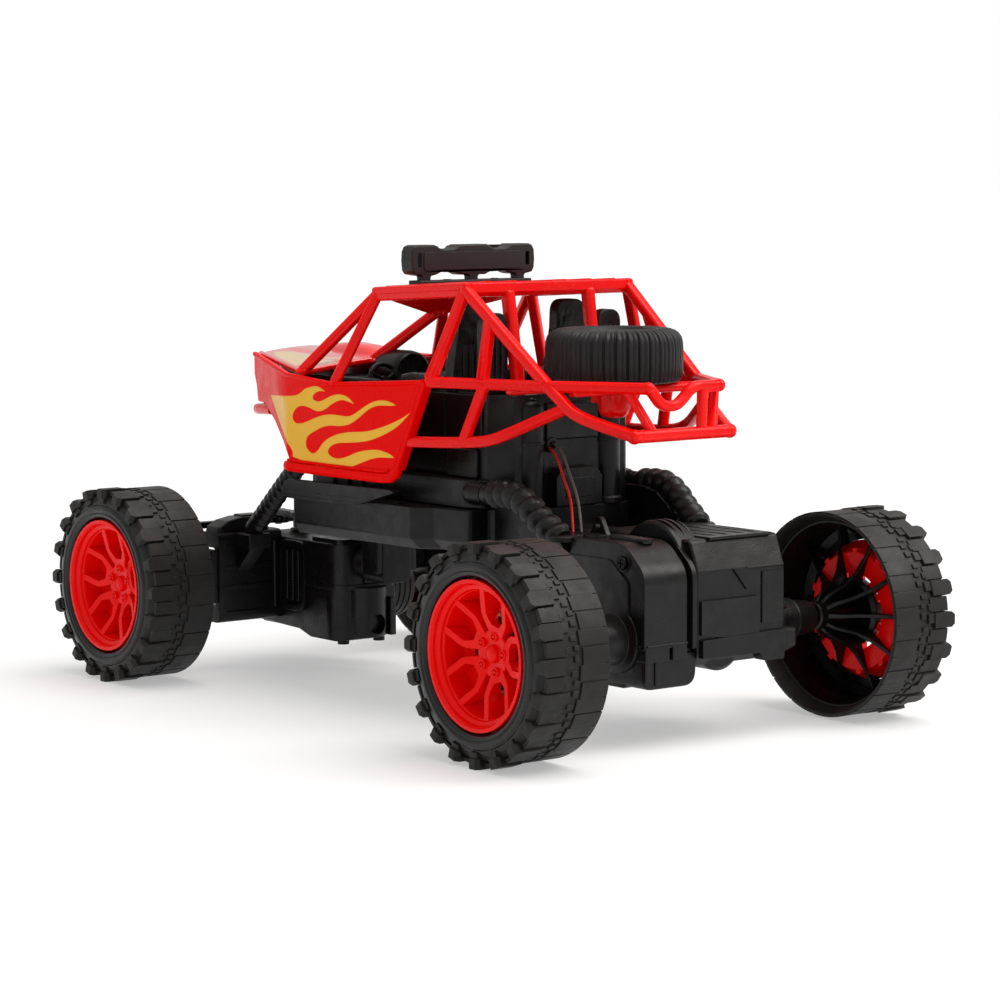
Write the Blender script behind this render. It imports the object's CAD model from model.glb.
import bpy
import bmesh
import math
from mathutils import Vector, Matrix


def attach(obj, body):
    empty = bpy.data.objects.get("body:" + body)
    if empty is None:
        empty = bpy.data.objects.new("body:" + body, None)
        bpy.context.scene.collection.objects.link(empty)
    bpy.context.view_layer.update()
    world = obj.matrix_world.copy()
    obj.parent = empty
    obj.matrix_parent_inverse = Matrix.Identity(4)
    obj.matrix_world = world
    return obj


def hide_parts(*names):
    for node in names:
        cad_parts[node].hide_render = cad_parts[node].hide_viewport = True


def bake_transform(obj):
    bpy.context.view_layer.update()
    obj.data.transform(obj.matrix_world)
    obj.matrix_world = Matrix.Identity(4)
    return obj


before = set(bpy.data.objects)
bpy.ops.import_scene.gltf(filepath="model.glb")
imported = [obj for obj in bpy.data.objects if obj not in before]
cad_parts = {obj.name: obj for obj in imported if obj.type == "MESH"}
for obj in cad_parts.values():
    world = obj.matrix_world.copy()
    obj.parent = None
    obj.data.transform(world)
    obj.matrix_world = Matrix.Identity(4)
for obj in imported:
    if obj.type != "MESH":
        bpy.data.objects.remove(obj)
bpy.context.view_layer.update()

MM = 0.001
COL = bpy.context.scene.collection

# ------------------------------------------------------------- dimensions (mm)
AXLE_X, WHEEL_R, AXLE_Z = 102.4, 32.5, 32.5
PANEL_Y, PANEL_T = 43.6, 1.6
KING_Y, STEER_ARM = 47.0, 14.0
TRAY_BOTTOM = 52.6


# ------------------------------------------------------------------ mesh tools
def rad(a):
    return math.radians(a)


class Shape:
    """Closed shells in millimetres, gathered into one mesh. Faces carry a material index."""

    def __init__(self):
        self.v, self.f, self.m = [], [], []

    def raw(self, verts, faces, mat=0):
        n = len(self.v)
        self.v += [tuple(p) for p in verts]
        self.f += [tuple(i + n for i in fc) for fc in faces]
        self.m += [mat] * len(faces) if isinstance(mat, int) else list(mat)
        return self

    def add(self, other, mat=None):
        n = len(self.v)
        self.v += other.v
        self.f += [tuple(i + n for i in fc) for fc in other.f]
        self.m += list(other.m) if mat is None else [mat] * len(other.m)
        return self

    def copy(self):
        s = Shape()
        s.v, s.f, s.m = list(self.v), list(self.f), list(self.m)
        return s

    def move(self, dx=0, dy=0, dz=0):
        self.v = [(x + dx, y + dy, z + dz) for x, y, z in self.v]
        return self

    def map(self, fn):
        self.v = [tuple(fn(*p)) for p in self.v]
        return self

    def turn(self, axis, deg, about=(0, 0, 0)):
        m = Matrix.Rotation(rad(deg), 3, axis)
        c = Vector(about)
        self.v = [tuple(m @ (Vector(p) - c) + c) for p in self.v]
        return self

    def mirrored(self):
        """Copy reflected across the car's centre plane."""
        s = Shape()
        s.v = [(x, -y, z) for x, y, z in self.v]
        s.f = [tuple(reversed(fc)) for fc in self.f]
        s.m = list(self.m)
        return s

    def both(self):
        return self.copy().add(self.mirrored())

    def bm(self):
        b = bmesh.new()
        vs = [b.verts.new(p) for p in self.v]
        for fc, m in zip(self.f, self.m):
            try:
                face = b.faces.new([vs[i] for i in fc])
                face.material_index = m
            except ValueError:
                pass
        b.normal_update()
        return b

    def take(self, b):
        b.verts.index_update()
        self.v = [tuple(x.co) for x in b.verts]
        self.f = [tuple(x.index for x in fc.verts) for fc in b.faces]
        self.m = [fc.material_index for fc in b.faces]
        b.free()
        return self

    def bevel(self, width, segs=2, angle=28, profile=0.6):
        b = self.bm()
        bmesh.ops.remove_doubles(b, verts=b.verts, dist=1e-4)
        b.normal_update()
        edges = [e for e in b.edges if len(e.link_faces) == 2 and e.calc_face_angle(0) > rad(angle)]
        if edges:
            bmesh.ops.bevel(b, geom=edges, offset=width, offset_type="OFFSET", segments=segs, profile=profile,
                            affect="EDGES", clamp_overlap=True, loop_slide=True)
        return self.take(b)

    def fix(self):
        """Faces outward."""
        b = self.bm()
        bmesh.ops.recalc_face_normals(b, faces=b.faces)
        return self.take(b)

    def tidy(self, angle=0.6, dist=0.004):
        b = self.bm()
        bmesh.ops.remove_doubles(b, verts=b.verts, dist=dist)
        bmesh.ops.dissolve_limit(b, angle_limit=rad(angle), verts=b.verts, edges=b.edges,
                                 delimit={"MATERIAL"})
        bmesh.ops.dissolve_degenerate(b, dist=dist, edges=b.edges)
        return self.take(b)

    def temp(self):
        b = self.bm()
        me = bpy.data.meshes.new("temp")
        b.to_mesh(me)
        b.free()
        ob = bpy.data.objects.new("temp", me)
        COL.objects.link(ob)
        return ob

    def boolean(self, other, operation="DIFFERENCE", tidy=True):
        a, c = self.temp(), other.temp()
        mod = a.modifiers.new("b", "BOOLEAN")
        mod.operation, mod.object, mod.solver = operation, c, "EXACT"
        mod.use_self = False
        bpy.context.view_layer.update()
        dg = bpy.context.evaluated_depsgraph_get()
        me = bpy.data.meshes.new_from_object(a.evaluated_get(dg))
        b = bmesh.new()
        b.from_mesh(me)
        for ob in (a, c):
            d = ob.data
            bpy.data.objects.remove(ob)
            bpy.data.meshes.remove(d)
        bpy.data.meshes.remove(me)
        self.take(b)
        return self.tidy() if tidy else self

    def cut(self, other):
        return self.boolean(other, "DIFFERENCE")

    def union(self, other):
        return self.boolean(other, "UNION")

    def common(self, other):
        return self.boolean(other, "INTERSECT")

    def build(self, name, mats, body=None, node=None, slot=None, bevel=0, smooth=38, weighted=True, blend=None):
        b = self.bm()
        bmesh.ops.scale(b, vec=(MM, MM, MM), verts=b.verts)
        loose = [v for v in b.verts if not v.link_faces]
        bmesh.ops.delete(b, geom=loose, context="VERTS")
        me = bpy.data.meshes.new(name)
        b.to_mesh(me)
        b.free()
        for m in mats if isinstance(mats, (list, tuple)) else [mats]:
            me.materials.append(m)
        if smooth:
            for p in me.polygons:
                p.use_smooth = True
        ob = bpy.data.objects.new(name, me)
        COL.objects.link(ob)
        if smooth:
            bb = bmesh.new()
            bb.from_mesh(me)
            for e in bb.edges:
                e.smooth = not (len(e.link_faces) == 2 and e.calc_face_angle(0) > rad(smooth))
            bb.to_mesh(me)
            bb.free()
        if weighted:
            w = ob.modifiers.new("normals", "WEIGHTED_NORMAL")
            w.keep_sharp = True
            w.weight = 60
        if blend:
            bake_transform(ob)
        elif body:
            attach(ob, body)
        if node:
            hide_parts(*([node] if isinstance(node, str) else node))
        return ob


def box(x0, x1, y0, y1, z0, z1, mat=0):
    v = [(x, y, z) for x in (x0, x1) for y in (y0, y1) for z in (z0, z1)]
    f = [(0, 1, 3, 2), (4, 6, 7, 5), (0, 4, 5, 1), (2, 3, 7, 6), (0, 2, 6, 4), (1, 5, 7, 3)]
    return Shape().raw(v, f, mat)


def area2(pts):
    return sum(a[0] * b[1] - b[0] * a[1] for a, b in zip(pts, pts[1:] + pts[:1])) / 2


def prism(pts, lo, hi, axis="y", mat=0, scale_hi=None):
    """Outline (x,z), (x,y) or (y,z) pushed along y, z or x."""
    pts = [tuple(p) for p in pts]
    if area2(pts) < 0:
        pts = pts[::-1]
    n = len(pts)

    def place(p, h):
        return {"y": (p[0], h, p[1]), "z": (p[0], p[1], h), "x": (h, p[0], p[1])}[axis]

    v = [place(p, lo) for p in pts] + [place(p, hi) for p in pts]
    f = [tuple(range(n)), tuple(range(2 * n - 1, n - 1, -1))]
    f += [(i, i + n, (i + 1) % n + n, (i + 1) % n) for i in range(n)]
    return Shape().raw(v, f, mat).fix()


def lathe(profile, centre=(0, 0, 0), axis="y", segs=64, mat=0, arc=None, close=True):
    """Closed outline of (along, radius) turned round an axis through centre."""
    v, f = [], []
    n = len(profile)
    for k in range(segs):
        a = 2 * math.pi * k / segs
        c, s = math.cos(a), math.sin(a)
        for h, r in profile:
            if axis == "y":
                v.append((centre[0] + r * c, centre[1] + h, centre[2] + r * s))
            elif axis == "z":
                v.append((centre[0] + r * c, centre[1] + r * s, centre[2] + h))
            else:
                v.append((centre[0] + h, centre[1] + r * c, centre[2] + r * s))
    for k in range(segs):
        k2 = (k + 1) % segs
        for i in range(n):
            j = (i + 1) % n
            f.append((k * n + i, k * n + j, k2 * n + j, k2 * n + i))
    s = Shape().raw(v, f, mat)
    b = s.bm()
    bmesh.ops.remove_doubles(b, verts=b.verts, dist=1e-4)
    bad = [fc for fc in b.faces if fc.calc_area() < 1e-7]
    bmesh.ops.delete(b, geom=bad, context="FACES")
    bmesh.ops.recalc_face_normals(b, faces=b.faces)
    return s.take(b)


def disc(centre, r, length, axis="y", segs=40, mat=0, chamfer=0.0):
    """Solid round bar from centre along an axis, with chamfered ends."""
    c = min(chamfer, r * 0.6, length * 0.45)
    if c > 0:
        prof = [(0, 0), (0, r - c), (c, r), (length - c, r), (length, r - c), (length, 0)]
    else:
        prof = [(0, 0), (0, r), (length, r), (length, 0)]
    return lathe(prof, centre, axis, segs, mat)


def frames(path, up=(0, 0, 1)):
    """Tangent, side and up at each point of a path, carried along it."""
    pts = [Vector(p) for p in path]
    out = []
    side = None
    for i, p in enumerate(pts):
        a = pts[max(i - 1, 0)]
        b = pts[min(i + 1, len(pts) - 1)]
        t = (b - a).normalized()
        if side is None:
            side = t.cross(Vector(up))
            if side.length < 1e-3:
                side = t.cross(Vector((0, 1, 0)))
        side = (side - t * side.dot(t)).normalized()
        out.append((p, t, side, side.cross(t).normalized()))
    return out


def sweep(path, section, mat=0, up=(0, 0, 1), scales=None, caps=True, mitre=True):
    """Section (side, up) carried along a path; corners are mitred."""
    fr = frames(path, up)
    pts = [Vector(p) for p in path]
    n = len(section)
    v, f = [], []
    for i, (p, t, s, u) in enumerate(fr):
        k = scales[i] if scales else 1.0
        stretch, bis = 1.0, None
        if mitre and 0 < i < len(pts) - 1:
            a, b = (pts[i] - pts[i - 1]).normalized(), (pts[i + 1] - pts[i]).normalized()
            half = a.angle(b, 0) / 2
            if half > 1e-3:
                bis = (b - a).normalized()
                stretch = min(1 / max(math.cos(half), 0.3), 2.0)
        for x, y in section:
            d = s * x * k + u * y * k
            if bis is not None:
                d = d + bis * (d.dot(bis)) * (stretch - 1)
            v.append(tuple(p + d))
    for i in range(len(fr) - 1):
        for j in range(n):
            j2 = (j + 1) % n
            f.append((i * n + j, i * n + j2, (i + 1) * n + j2, (i + 1) * n + j))
    if caps:
        f.append(tuple(range(n - 1, -1, -1)))
        f.append(tuple(range((len(fr) - 1) * n, len(fr) * n)))
    return Shape().raw(v, f, mat).fix()


def ring_section(r, n=16, squash=1.0, flat=0.0):
    out = []
    for k in range(n):
        a = 2 * math.pi * (k + 0.5) / n
        c, s = math.cos(a), math.sin(a)
        e = 2 / (2 + flat * 2)
        out.append((r * math.copysign(abs(c) ** e, c), r * squash * math.copysign(abs(s) ** e, s)))
    return out


def rect_section(w, h, r=0.5, n=3):
    """Rounded rectangle w wide and h tall."""
    out = []
    for cx, cy, a0 in ((w / 2 - r, h / 2 - r, 0), (-w / 2 + r, h / 2 - r, 90), (-w / 2 + r, -h / 2 + r, 180), (w / 2 - r, -h / 2 + r, 270)):
        for k in range(n + 1):
            a = rad(a0 + 90 * k / n)
            out.append((cx + r * math.cos(a), cy + r * math.sin(a)))
    return out


def tube(p, q, r=1.75, n=16, mat=0, flat=0.35, dome=True):
    """Straight moulded tube with rounded ends, slightly squared in section."""
    p, q = Vector(p), Vector(q)
    d = (q - p).normalized()
    if not dome:
        return sweep([p, q], ring_section(r, n, 1, flat), mat)
    steps = [(0, 0.35), (0.12, 0.72), (0.4, 0.93), (0.8, 1.0)]
    path = [p + d * (a * r - r * 0.5) for a, _ in steps] + [q - d * (a * r - r * 0.5) for a, _ in reversed(steps)]
    sc = [k for _, k in steps] + [k for _, k in reversed(steps)]
    return sweep(path, ring_section(r, n, 1, flat), mat, scales=sc, mitre=False)


def arc(cx, cy, r, a0, a1, n=8):
    return [(cx + r * math.cos(rad(a0 + (a1 - a0) * k / n)), cy + r * math.sin(rad(a0 + (a1 - a0) * k / n))) for k in range(n + 1)]


def rounded(pts, radii, n=5):
    """Outline with its corners rounded; radii is one number or one for each corner."""
    out = []
    m = len(pts)
    rr = radii if isinstance(radii, (list, tuple)) else [radii] * m
    for i in range(m):
        p0, p1, p2 = Vector(pts[i - 1]), Vector(pts[i]), Vector(pts[(i + 1) % m])
        a, b = (p0 - p1), (p2 - p1)
        r = rr[i]
        ang = a.angle(b, math.pi)
        if r <= 0 or ang > rad(176):
            out.append(tuple(p1))
            continue
        cut = min(r / math.tan(ang / 2), a.length * 0.49, b.length * 0.49)
        s, e = p1 + a.normalized() * cut, p1 + b.normalized() * cut
        for k in range(n + 1):
            t = k / n
            out.append(tuple((1 - t) ** 2 * s + 2 * t * (1 - t) * p1 + t * t * e))
    return out


# -------------------------------------------------------------------- materials
def lin(c):
    """Display colour 0-255 to linear."""
    return tuple(((x / 255) / 12.92 if x / 255 <= 0.04045 else ((x / 255 + 0.055) / 1.055) ** 2.4) for x in c) + (1.0,)


def material(name, colour, rough=0.45, vary=0.06, grain=0.25, grain_scale=2600, wave=0.06, wave_scale=140, dark=0.8,
             metal=0.0, coat=0.0, coat_rough=0.1, spec=0.5, ior=1.46, scuff=0.0, scuff_colour=None, sheen=0.0, dust=0.0,
             brushed=None, sss=0.0, rough_vary=0.10, pattern=None):
    """Moulded, painted or metal finish: mottled tint, fine tooling grain, slow waviness and handling marks."""
    m = bpy.data.materials.new(name)
    m.use_nodes = True
    t = m.node_tree
    N, L = t.nodes, t.links
    N.clear()
    out = N.new("ShaderNodeOutputMaterial")
    p = N.new("ShaderNodeBsdfPrincipled")
    L.new(p.outputs[0], out.inputs[0])
    p.inputs["Metallic"].default_value = metal
    p.inputs["IOR"].default_value = ior
    p.inputs["Specular IOR Level"].default_value = spec
    p.inputs["Coat Weight"].default_value = coat
    p.inputs["Coat Roughness"].default_value = coat_rough
    p.inputs["Sheen Weight"].default_value = sheen
    if sss:
        p.inputs["Subsurface Weight"].default_value = sss
        p.inputs["Subsurface Radius"].default_value = (0.002, 0.0008, 0.0005)
        p.inputs["Subsurface Scale"].default_value = 1.0
    tc = N.new("ShaderNodeTexCoord")
    co = tc.outputs["Object"]

    def noise_tex(scale, detail=3.0, rough_=0.55, vec=None):
        n = N.new("ShaderNodeTexNoise")
        n.inputs["Scale"].default_value = scale
        n.inputs["Detail"].default_value = detail
        n.inputs["Roughness"].default_value = rough_
        L.new(vec or co, n.inputs["Vector"])
        return n

    def ramp(src, lo, hi, a=0.0, b=1.0):
        r = N.new("ShaderNodeMapRange")
        r.inputs["From Min"].default_value, r.inputs["From Max"].default_value = lo, hi
        r.inputs["To Min"].default_value, r.inputs["To Max"].default_value = a, b
        L.new(src, r.inputs["Value"])
        return r.outputs[0]

    def mix(fac, a, b):
        x = N.new("ShaderNodeMix")
        x.data_type = "RGBA"
        for s, val in ((0, fac), (6, a), (7, b)):
            if isinstance(val, (tuple, float, int)):
                x.inputs[s].default_value = val
            else:
                L.new(val, x.inputs[s])
        return x.outputs[2]

    base = lin(colour)
    deep = tuple(c * dark for c in base[:3]) + (1.0,)
    tint = noise_tex(55, 4, 0.6)
    fine = noise_tex(700, 3, 0.6)
    both = N.new("ShaderNodeMath")
    both.operation = "MULTIPLY_ADD"
    both.inputs[1].default_value = 0.35
    L.new(fine.outputs["Fac"], both.inputs[0])
    L.new(ramp(tint.outputs["Fac"], 0.3, 0.7, 0, 0.65), both.inputs[2])
    col = mix(ramp(both.outputs[0], 0.15, 0.85, 0, 1), base, deep if vary else base)
    if vary:
        col2 = N.new("ShaderNodeMix")
        col2.data_type = "RGBA"
        col2.inputs[0].default_value = min(1.0, vary * 8)
        col2.inputs[6].default_value = base
        L.new(col, col2.inputs[7])
        col = col2.outputs[2]
    if pattern:
        col = pattern(N, L, co, col, mix, ramp)
    if scuff:
        marks = noise_tex(160, 6, 0.7)
        geo = N.new("ShaderNodeNewGeometry")
        edge = ramp(geo.outputs["Pointiness"], 0.52, 0.62, 0, 1)
        rub = N.new("ShaderNodeMath")
        rub.operation = "MULTIPLY"
        L.new(edge, rub.inputs[0])
        L.new(ramp(marks.outputs["Fac"], 0.42, 0.6, 0, scuff), rub.inputs[1])
        col = mix(rub.outputs[0], col, scuff_colour or tuple(min(1, c * 1.6 + 0.02) for c in base[:3]) + (1.0,))
    if dust:
        geo = N.new("ShaderNodeNewGeometry")
        sep = N.new("ShaderNodeSeparateXYZ")
        L.new(geo.outputs["Normal"], sep.inputs[0])
        patch = noise_tex(90, 5, 0.65)
        d = N.new("ShaderNodeMath")
        d.operation = "MULTIPLY"
        L.new(ramp(sep.outputs["Z"], 0.1, 1.0, 0, dust), d.inputs[0])
        L.new(ramp(patch.outputs["Fac"], 0.35, 0.7, 0.2, 1), d.inputs[1])
        col = mix(d.outputs[0], col, lin((150, 142, 134)))
    L.new(col, p.inputs["Base Color"])
    rn = noise_tex(220, 4, 0.6)
    L.new(ramp(rn.outputs["Fac"], 0.3, 0.7, max(0.02, rough - rough_vary), min(1, rough + rough_vary)), p.inputs["Roughness"])
    # bump: slow mould waviness under a fine texture
    g = noise_tex(grain_scale, 2, 0.5) if not brushed else None
    if brushed:
        mp = N.new("ShaderNodeMapping")
        mp.inputs["Scale"].default_value = brushed
        L.new(co, mp.inputs["Vector"])
        g = noise_tex(1.0, 3, 0.6, mp.outputs[0])
    b1 = N.new("ShaderNodeBump")
    b1.inputs["Strength"].default_value = wave
    b1.inputs["Distance"].default_value = 0.004
    L.new(noise_tex(wave_scale, 1, 0.4).outputs["Fac"], b1.inputs["Height"])
    b2 = N.new("ShaderNodeBump")
    b2.inputs["Strength"].default_value = grain
    b2.inputs["Distance"].default_value = 0.00012
    L.new(g.outputs["Fac"], b2.inputs["Height"])
    L.new(b1.outputs[0], b2.inputs["Normal"])
    L.new(b2.outputs[0], p.inputs["Normal"])
    return m


TYRE = material("tyre_rubber", (20, 18, 17), spec=0.34, rough=0.52, vary=0.05, grain=0.45, grain_scale=3200, wave=0.03, dust=0.14, scuff=0.22)
TYRE_WALL = material("tyre_sidewall", (14, 13, 13), spec=0.40, rough=0.30, vary=0.05, grain=0.22, grain_scale=2600, wave=0.03, dust=0.04)
CORE = material("wheel_core_plastic", (12, 11, 11), spec=0.30, rough=0.32, vary=0.05, grain=0.22, grain_scale=2200, scuff=0.15)
RIM = material("rim_red", (240, 6, 3), spec=0.14, rough=0.30, vary=0.03, grain=0.10, wave=0.02, coat=0.04, coat_rough=0.10, dark=0.88, scuff=0.02, sss=0.02)
BLACK = material("axle_plastic", (14, 12, 12), spec=0.30, rough=0.34, vary=0.07, grain=0.35, grain_scale=2100, wave=0.06, scuff=0.20, dust=0.04)
CHASSIS = material("chassis_plastic", (12, 11, 11), spec=0.28, rough=0.34, vary=0.07, grain=0.35, grain_scale=2100, wave=0.06, scuff=0.20, dust=0.05)
INTERIOR = material("interior_plastic", (13, 12, 12), spec=0.28, rough=0.34, vary=0.06, grain=0.30, grain_scale=1900, wave=0.05, scuff=0.16, dust=0.03)
SEAT = material("seat_plastic", (20, 18, 19), spec=0.32, rough=0.34, vary=0.08, grain=0.40, grain_scale=1500, wave=0.12, wave_scale=320, scuff=0.24, dust=0.04)
BODY = material("body_red", (236, 4, 2), spec=0.03, rough=0.28, vary=0.02, grain=0.06, wave=0.01, dark=0.92, scuff=0.0, sss=0.02)
HOOD = material("hood_red", (242, 5, 3), spec=0.5, rough=0.22, vary=0.03, grain=0.06, wave=0.01, coat=1.0, coat_rough=0.05, dark=0.92, scuff=0.03, sss=0.02)
CAGE = material("cage_red", (240, 6, 3), spec=0.18, rough=0.24, vary=0.03, grain=0.08, wave=0.015, coat=0.06, coat_rough=0.08, dark=0.88, scuff=0.02, sss=0.02)
FLAME = material("flame_yellow", (238, 182, 54), spec=0.10, rough=0.32, vary=0.04, grain=0.08, wave=0.01, coat=0.02, coat_rough=0.10, dark=0.86)
FLAME_TOP = material("flame_yellow_gloss", (240, 190, 70), spec=0.5, rough=0.24, vary=0.05, grain=0.08, wave=0.03, coat=1.0, coat_rough=0.05, dark=0.88)
LIGHTBAR = material("light_bar_plastic", (34, 31, 31), spec=0.30, rough=0.42, vary=0.06, grain=0.34, grain_scale=2000, scuff=0.2, dust=0.05)
SPARE = material("spare_rubber", (25, 23, 24), spec=0.32, rough=0.44, vary=0.06, grain=0.35, grain_scale=3000, wave=0.03, scuff=0.2, dust=0.06)
BOOT = material("boot_rubber", (14, 13, 13), spec=0.36, rough=0.34, vary=0.05, grain=0.30, grain_scale=2600, scuff=0.22, dust=0.03)
STEEL = material("steel", (176, 176, 180), rough=0.28, metal=1.0, vary=0.05, grain=0.30, brushed=(900, 5200, 900), wave=0.0, dark=0.72)
SCREW = material("screw_steel", (44, 43, 43), rough=0.46, metal=1.0, vary=0.05, grain=0.25, wave=0.0, dark=0.6)
GEAR = material("gear_plastic", (226, 222, 208), rough=0.40, vary=0.05, grain=0.2, sss=0.05)
BRASS = material("pinion_brass", (196, 156, 82), rough=0.30, metal=1.0, vary=0.06, grain=0.2, wave=0.0)
CAN = material("motor_can", (168, 170, 172), rough=0.30, metal=1.0, vary=0.05, grain=0.25, brushed=(700, 4000, 700), wave=0.0)
SERVO = material("servo_case", (34, 38, 48), rough=0.42, vary=0.05, grain=0.3)
WRAP = material("battery_wrap", (44, 92, 66), rough=0.28, vary=0.06, grain=0.1, wave=0.12, coat=0.3)
BOARD = material("board_green", (26, 84, 48), rough=0.38, vary=0.10, grain=0.2, coat=0.3)
SWITCH = material("switch_plastic", (28, 27, 27), rough=0.44, vary=0.05, grain=0.3)
LEAD_RED = material("lead_red", (212, 34, 26), rough=0.36, vary=0.05, grain=0.12, wave=0.10, wave_scale=500)
LEAD_GREY = material("lead_grey", (96, 93, 90), rough=0.38, vary=0.05, grain=0.12, wave=0.10, wave_scale=500)


def lens_material():
    m = bpy.data.materials.new("lens_clear")
    m.use_nodes = True
    t = m.node_tree
    N, L = t.nodes, t.links
    p = N["Principled BSDF"]
    p.inputs["Transmission Weight"].default_value = 0.55
    p.inputs["IOR"].default_value = 1.49
    p.inputs["Coat Weight"].default_value = 0.6
    tc = N.new("ShaderNodeTexCoord")
    w = N.new("ShaderNodeTexWave")
    w.bands_direction = "Y"
    w.inputs["Scale"].default_value = 260
    w.inputs["Distortion"].default_value = 0.3
    L.new(tc.outputs["Object"], w.inputs["Vector"])
    n = N.new("ShaderNodeTexNoise")
    n.inputs["Scale"].default_value = 400
    L.new(tc.outputs["Object"], n.inputs["Vector"])
    r = N.new("ShaderNodeValToRGB")
    r.color_ramp.elements[0].color = lin((205, 208, 210))
    r.color_ramp.elements[1].color = lin((236, 238, 240))
    L.new(w.outputs["Fac"], r.inputs[0])
    L.new(r.outputs[0], p.inputs["Base Color"])
    rr = N.new("ShaderNodeMapRange")
    rr.inputs["To Min"].default_value, rr.inputs["To Max"].default_value = 0.05, 0.22
    L.new(n.outputs["Fac"], rr.inputs["Value"])
    L.new(rr.outputs[0], p.inputs["Roughness"])
    b = N.new("ShaderNodeBump")
    b.inputs["Strength"].default_value = 0.5
    b.inputs["Distance"].default_value = 0.0003
    L.new(w.outputs["Fac"], b.inputs["Height"])
    L.new(b.outputs[0], p.inputs["Normal"])
    return m


LENS = lens_material()

SLOT_MATERIAL = {
    "tyre_rubber": TYRE, "wheel_core_plastic": CORE, "rim_red": RIM, "steel": STEEL, "gear_plastic": GEAR,
    "pinion_brass": BRASS, "motor_can": CAN, "axle_plastic": BLACK, "servo_case": SERVO, "chassis_plastic": CHASSIS,
    "interior_plastic": INTERIOR, "battery_wrap": WRAP, "board_green": BOARD, "switch_plastic": SWITCH,
    "seat_plastic": SEAT, "body_red": BODY, "cage_red": CAGE, "spare_rubber": SPARE, "light_bar_plastic": LIGHTBAR,
    "lens_clear": LENS, "boot_rubber": BOOT, "lead_red": LEAD_RED, "lead_grey": LEAD_GREY, "screw_steel": SCREW,
}
for node_name, node_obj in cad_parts.items():
    for s in node_obj.material_slots:
        key = (s.material.name if s.material else "").split(".")[0]
        s.material = SLOT_MATERIAL.get(key, BLACK)
    weld = node_obj.modifiers.new("weld", "WELD")
    weld.merge_threshold = 1e-6
    bev = node_obj.modifiers.new("edge", "BEVEL")
    bev.width = 0.00022
    bev.segments = 2
    bev.limit_method = "ANGLE"
    bev.angle_limit = rad(32)
    wn = node_obj.modifiers.new("normals", "WEIGHTED_NORMAL")
    wn.keep_sharp = True


# ------------------------------------------------------------ camera and studio
scene = bpy.context.scene
scene.view_settings.view_transform = "Standard"
scene.view_settings.look = "None"
scene.view_settings.exposure = 0.0
scene.render.film_transparent = False

cam_data = bpy.data.cameras.new("camera")
cam_data.sensor_width = 36.0
cam_data.lens = 112.2167
cam_data.clip_start = 0.02
cam_data.clip_end = 100
cam = bpy.data.objects.new("camera", cam_data)
COL.objects.link(cam)
right = Vector((-0.6125484344446718, -0.7904224813250668, -0.004088578641336221))
up_v = Vector((0.07644887261997137, -0.06439181811954582, 0.9949920922471669))
fwd = Vector((0.7867273894650656, -0.6091682811630822, -0.09987001497095556))
cam.matrix_world = Matrix((
    (right.x, up_v.x, -fwd.x, -0.7978522634712073),
    (right.y, up_v.y, -fwd.y, 0.6087712468104631),
    (right.z, up_v.z, -fwd.z, 0.16462160040141072),
    (0, 0, 0, 1),
))
scene.camera = cam

world = bpy.data.worlds.new("world")
scene.world = world
world.use_nodes = True
wt = world.node_tree
bg = wt.nodes["Background"]
bg.inputs["Color"].default_value = (1.0, 0.995, 0.99, 1.0)
bg.inputs["Strength"].default_value = 0.60
bg_seen = wt.nodes.new("ShaderNodeBackground")
bg_seen.inputs["Color"].default_value = (1.0, 1.0, 1.0, 1.0)
bg_seen.inputs["Strength"].default_value = 1.0
seen = wt.nodes.new("ShaderNodeLightPath")
pick = wt.nodes.new("ShaderNodeMixShader")
wt.links.new(seen.outputs["Is Camera Ray"], pick.inputs[0])
wt.links.new(bg.outputs[0], pick.inputs[1])
wt.links.new(bg_seen.outputs[0], pick.inputs[2])
wt.links.new(pick.outputs[0], wt.nodes["World Output"].inputs[0])


def area_light(name, at, look, size, power, colour=(1, 1, 1)):
    d = bpy.data.lights.new(name, "AREA")
    d.energy = power
    d.color = colour
    d.size = size
    o = bpy.data.objects.new(name, d)
    COL.objects.link(o)
    o.location = at
    o.rotation_euler = (Vector(look) - Vector(at)).to_track_quat("-Z", "Y").to_euler()
    return o


def sun_light(name, towards, strength, angle, colour=(1, 1, 1)):
    d = bpy.data.lights.new(name, "SUN")
    d.energy = strength
    d.angle = rad(angle)
    d.color = colour
    o = bpy.data.objects.new(name, d)
    COL.objects.link(o)
    o.rotation_euler = Vector(towards).to_track_quat("-Z", "Y").to_euler()
    return o


sun_light("overhead", (0.30, 0.25, -1.0), 1.95, 50)
area_light("key", (-0.75, -0.75, 0.85), (-0.03, 0, 0.06), 0.55, 5.0, (1.0, 0.985, 0.965))


def floor_material():
    m = bpy.data.materials.new("studio_floor")
    m.use_nodes = True
    t = m.node_tree
    p = t.nodes["Principled BSDF"]
    tc = t.nodes.new("ShaderNodeTexCoord")
    n = t.nodes.new("ShaderNodeTexNoise")
    n.inputs["Scale"].default_value = 6
    t.links.new(tc.outputs["Object"], n.inputs["Vector"])
    r = t.nodes.new("ShaderNodeValToRGB")
    r.color_ramp.elements[0].color = (0.565, 0.563, 0.56, 1)
    r.color_ramp.elements[1].color = (0.585, 0.583, 0.58, 1)
    t.links.new(n.outputs["Fac"], r.inputs[0])
    t.links.new(r.outputs[0], p.inputs["Base Color"])
    # lit from beneath like a studio table, which keeps the shadows soft
    p.inputs["Emission Color"].default_value = (1.0, 0.997, 0.995, 1)
    p.inputs["Emission Strength"].default_value = 0.38
    p.inputs["Roughness"].default_value = 0.7
    p.inputs["Specular IOR Level"].default_value = 0.2
    return m


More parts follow.
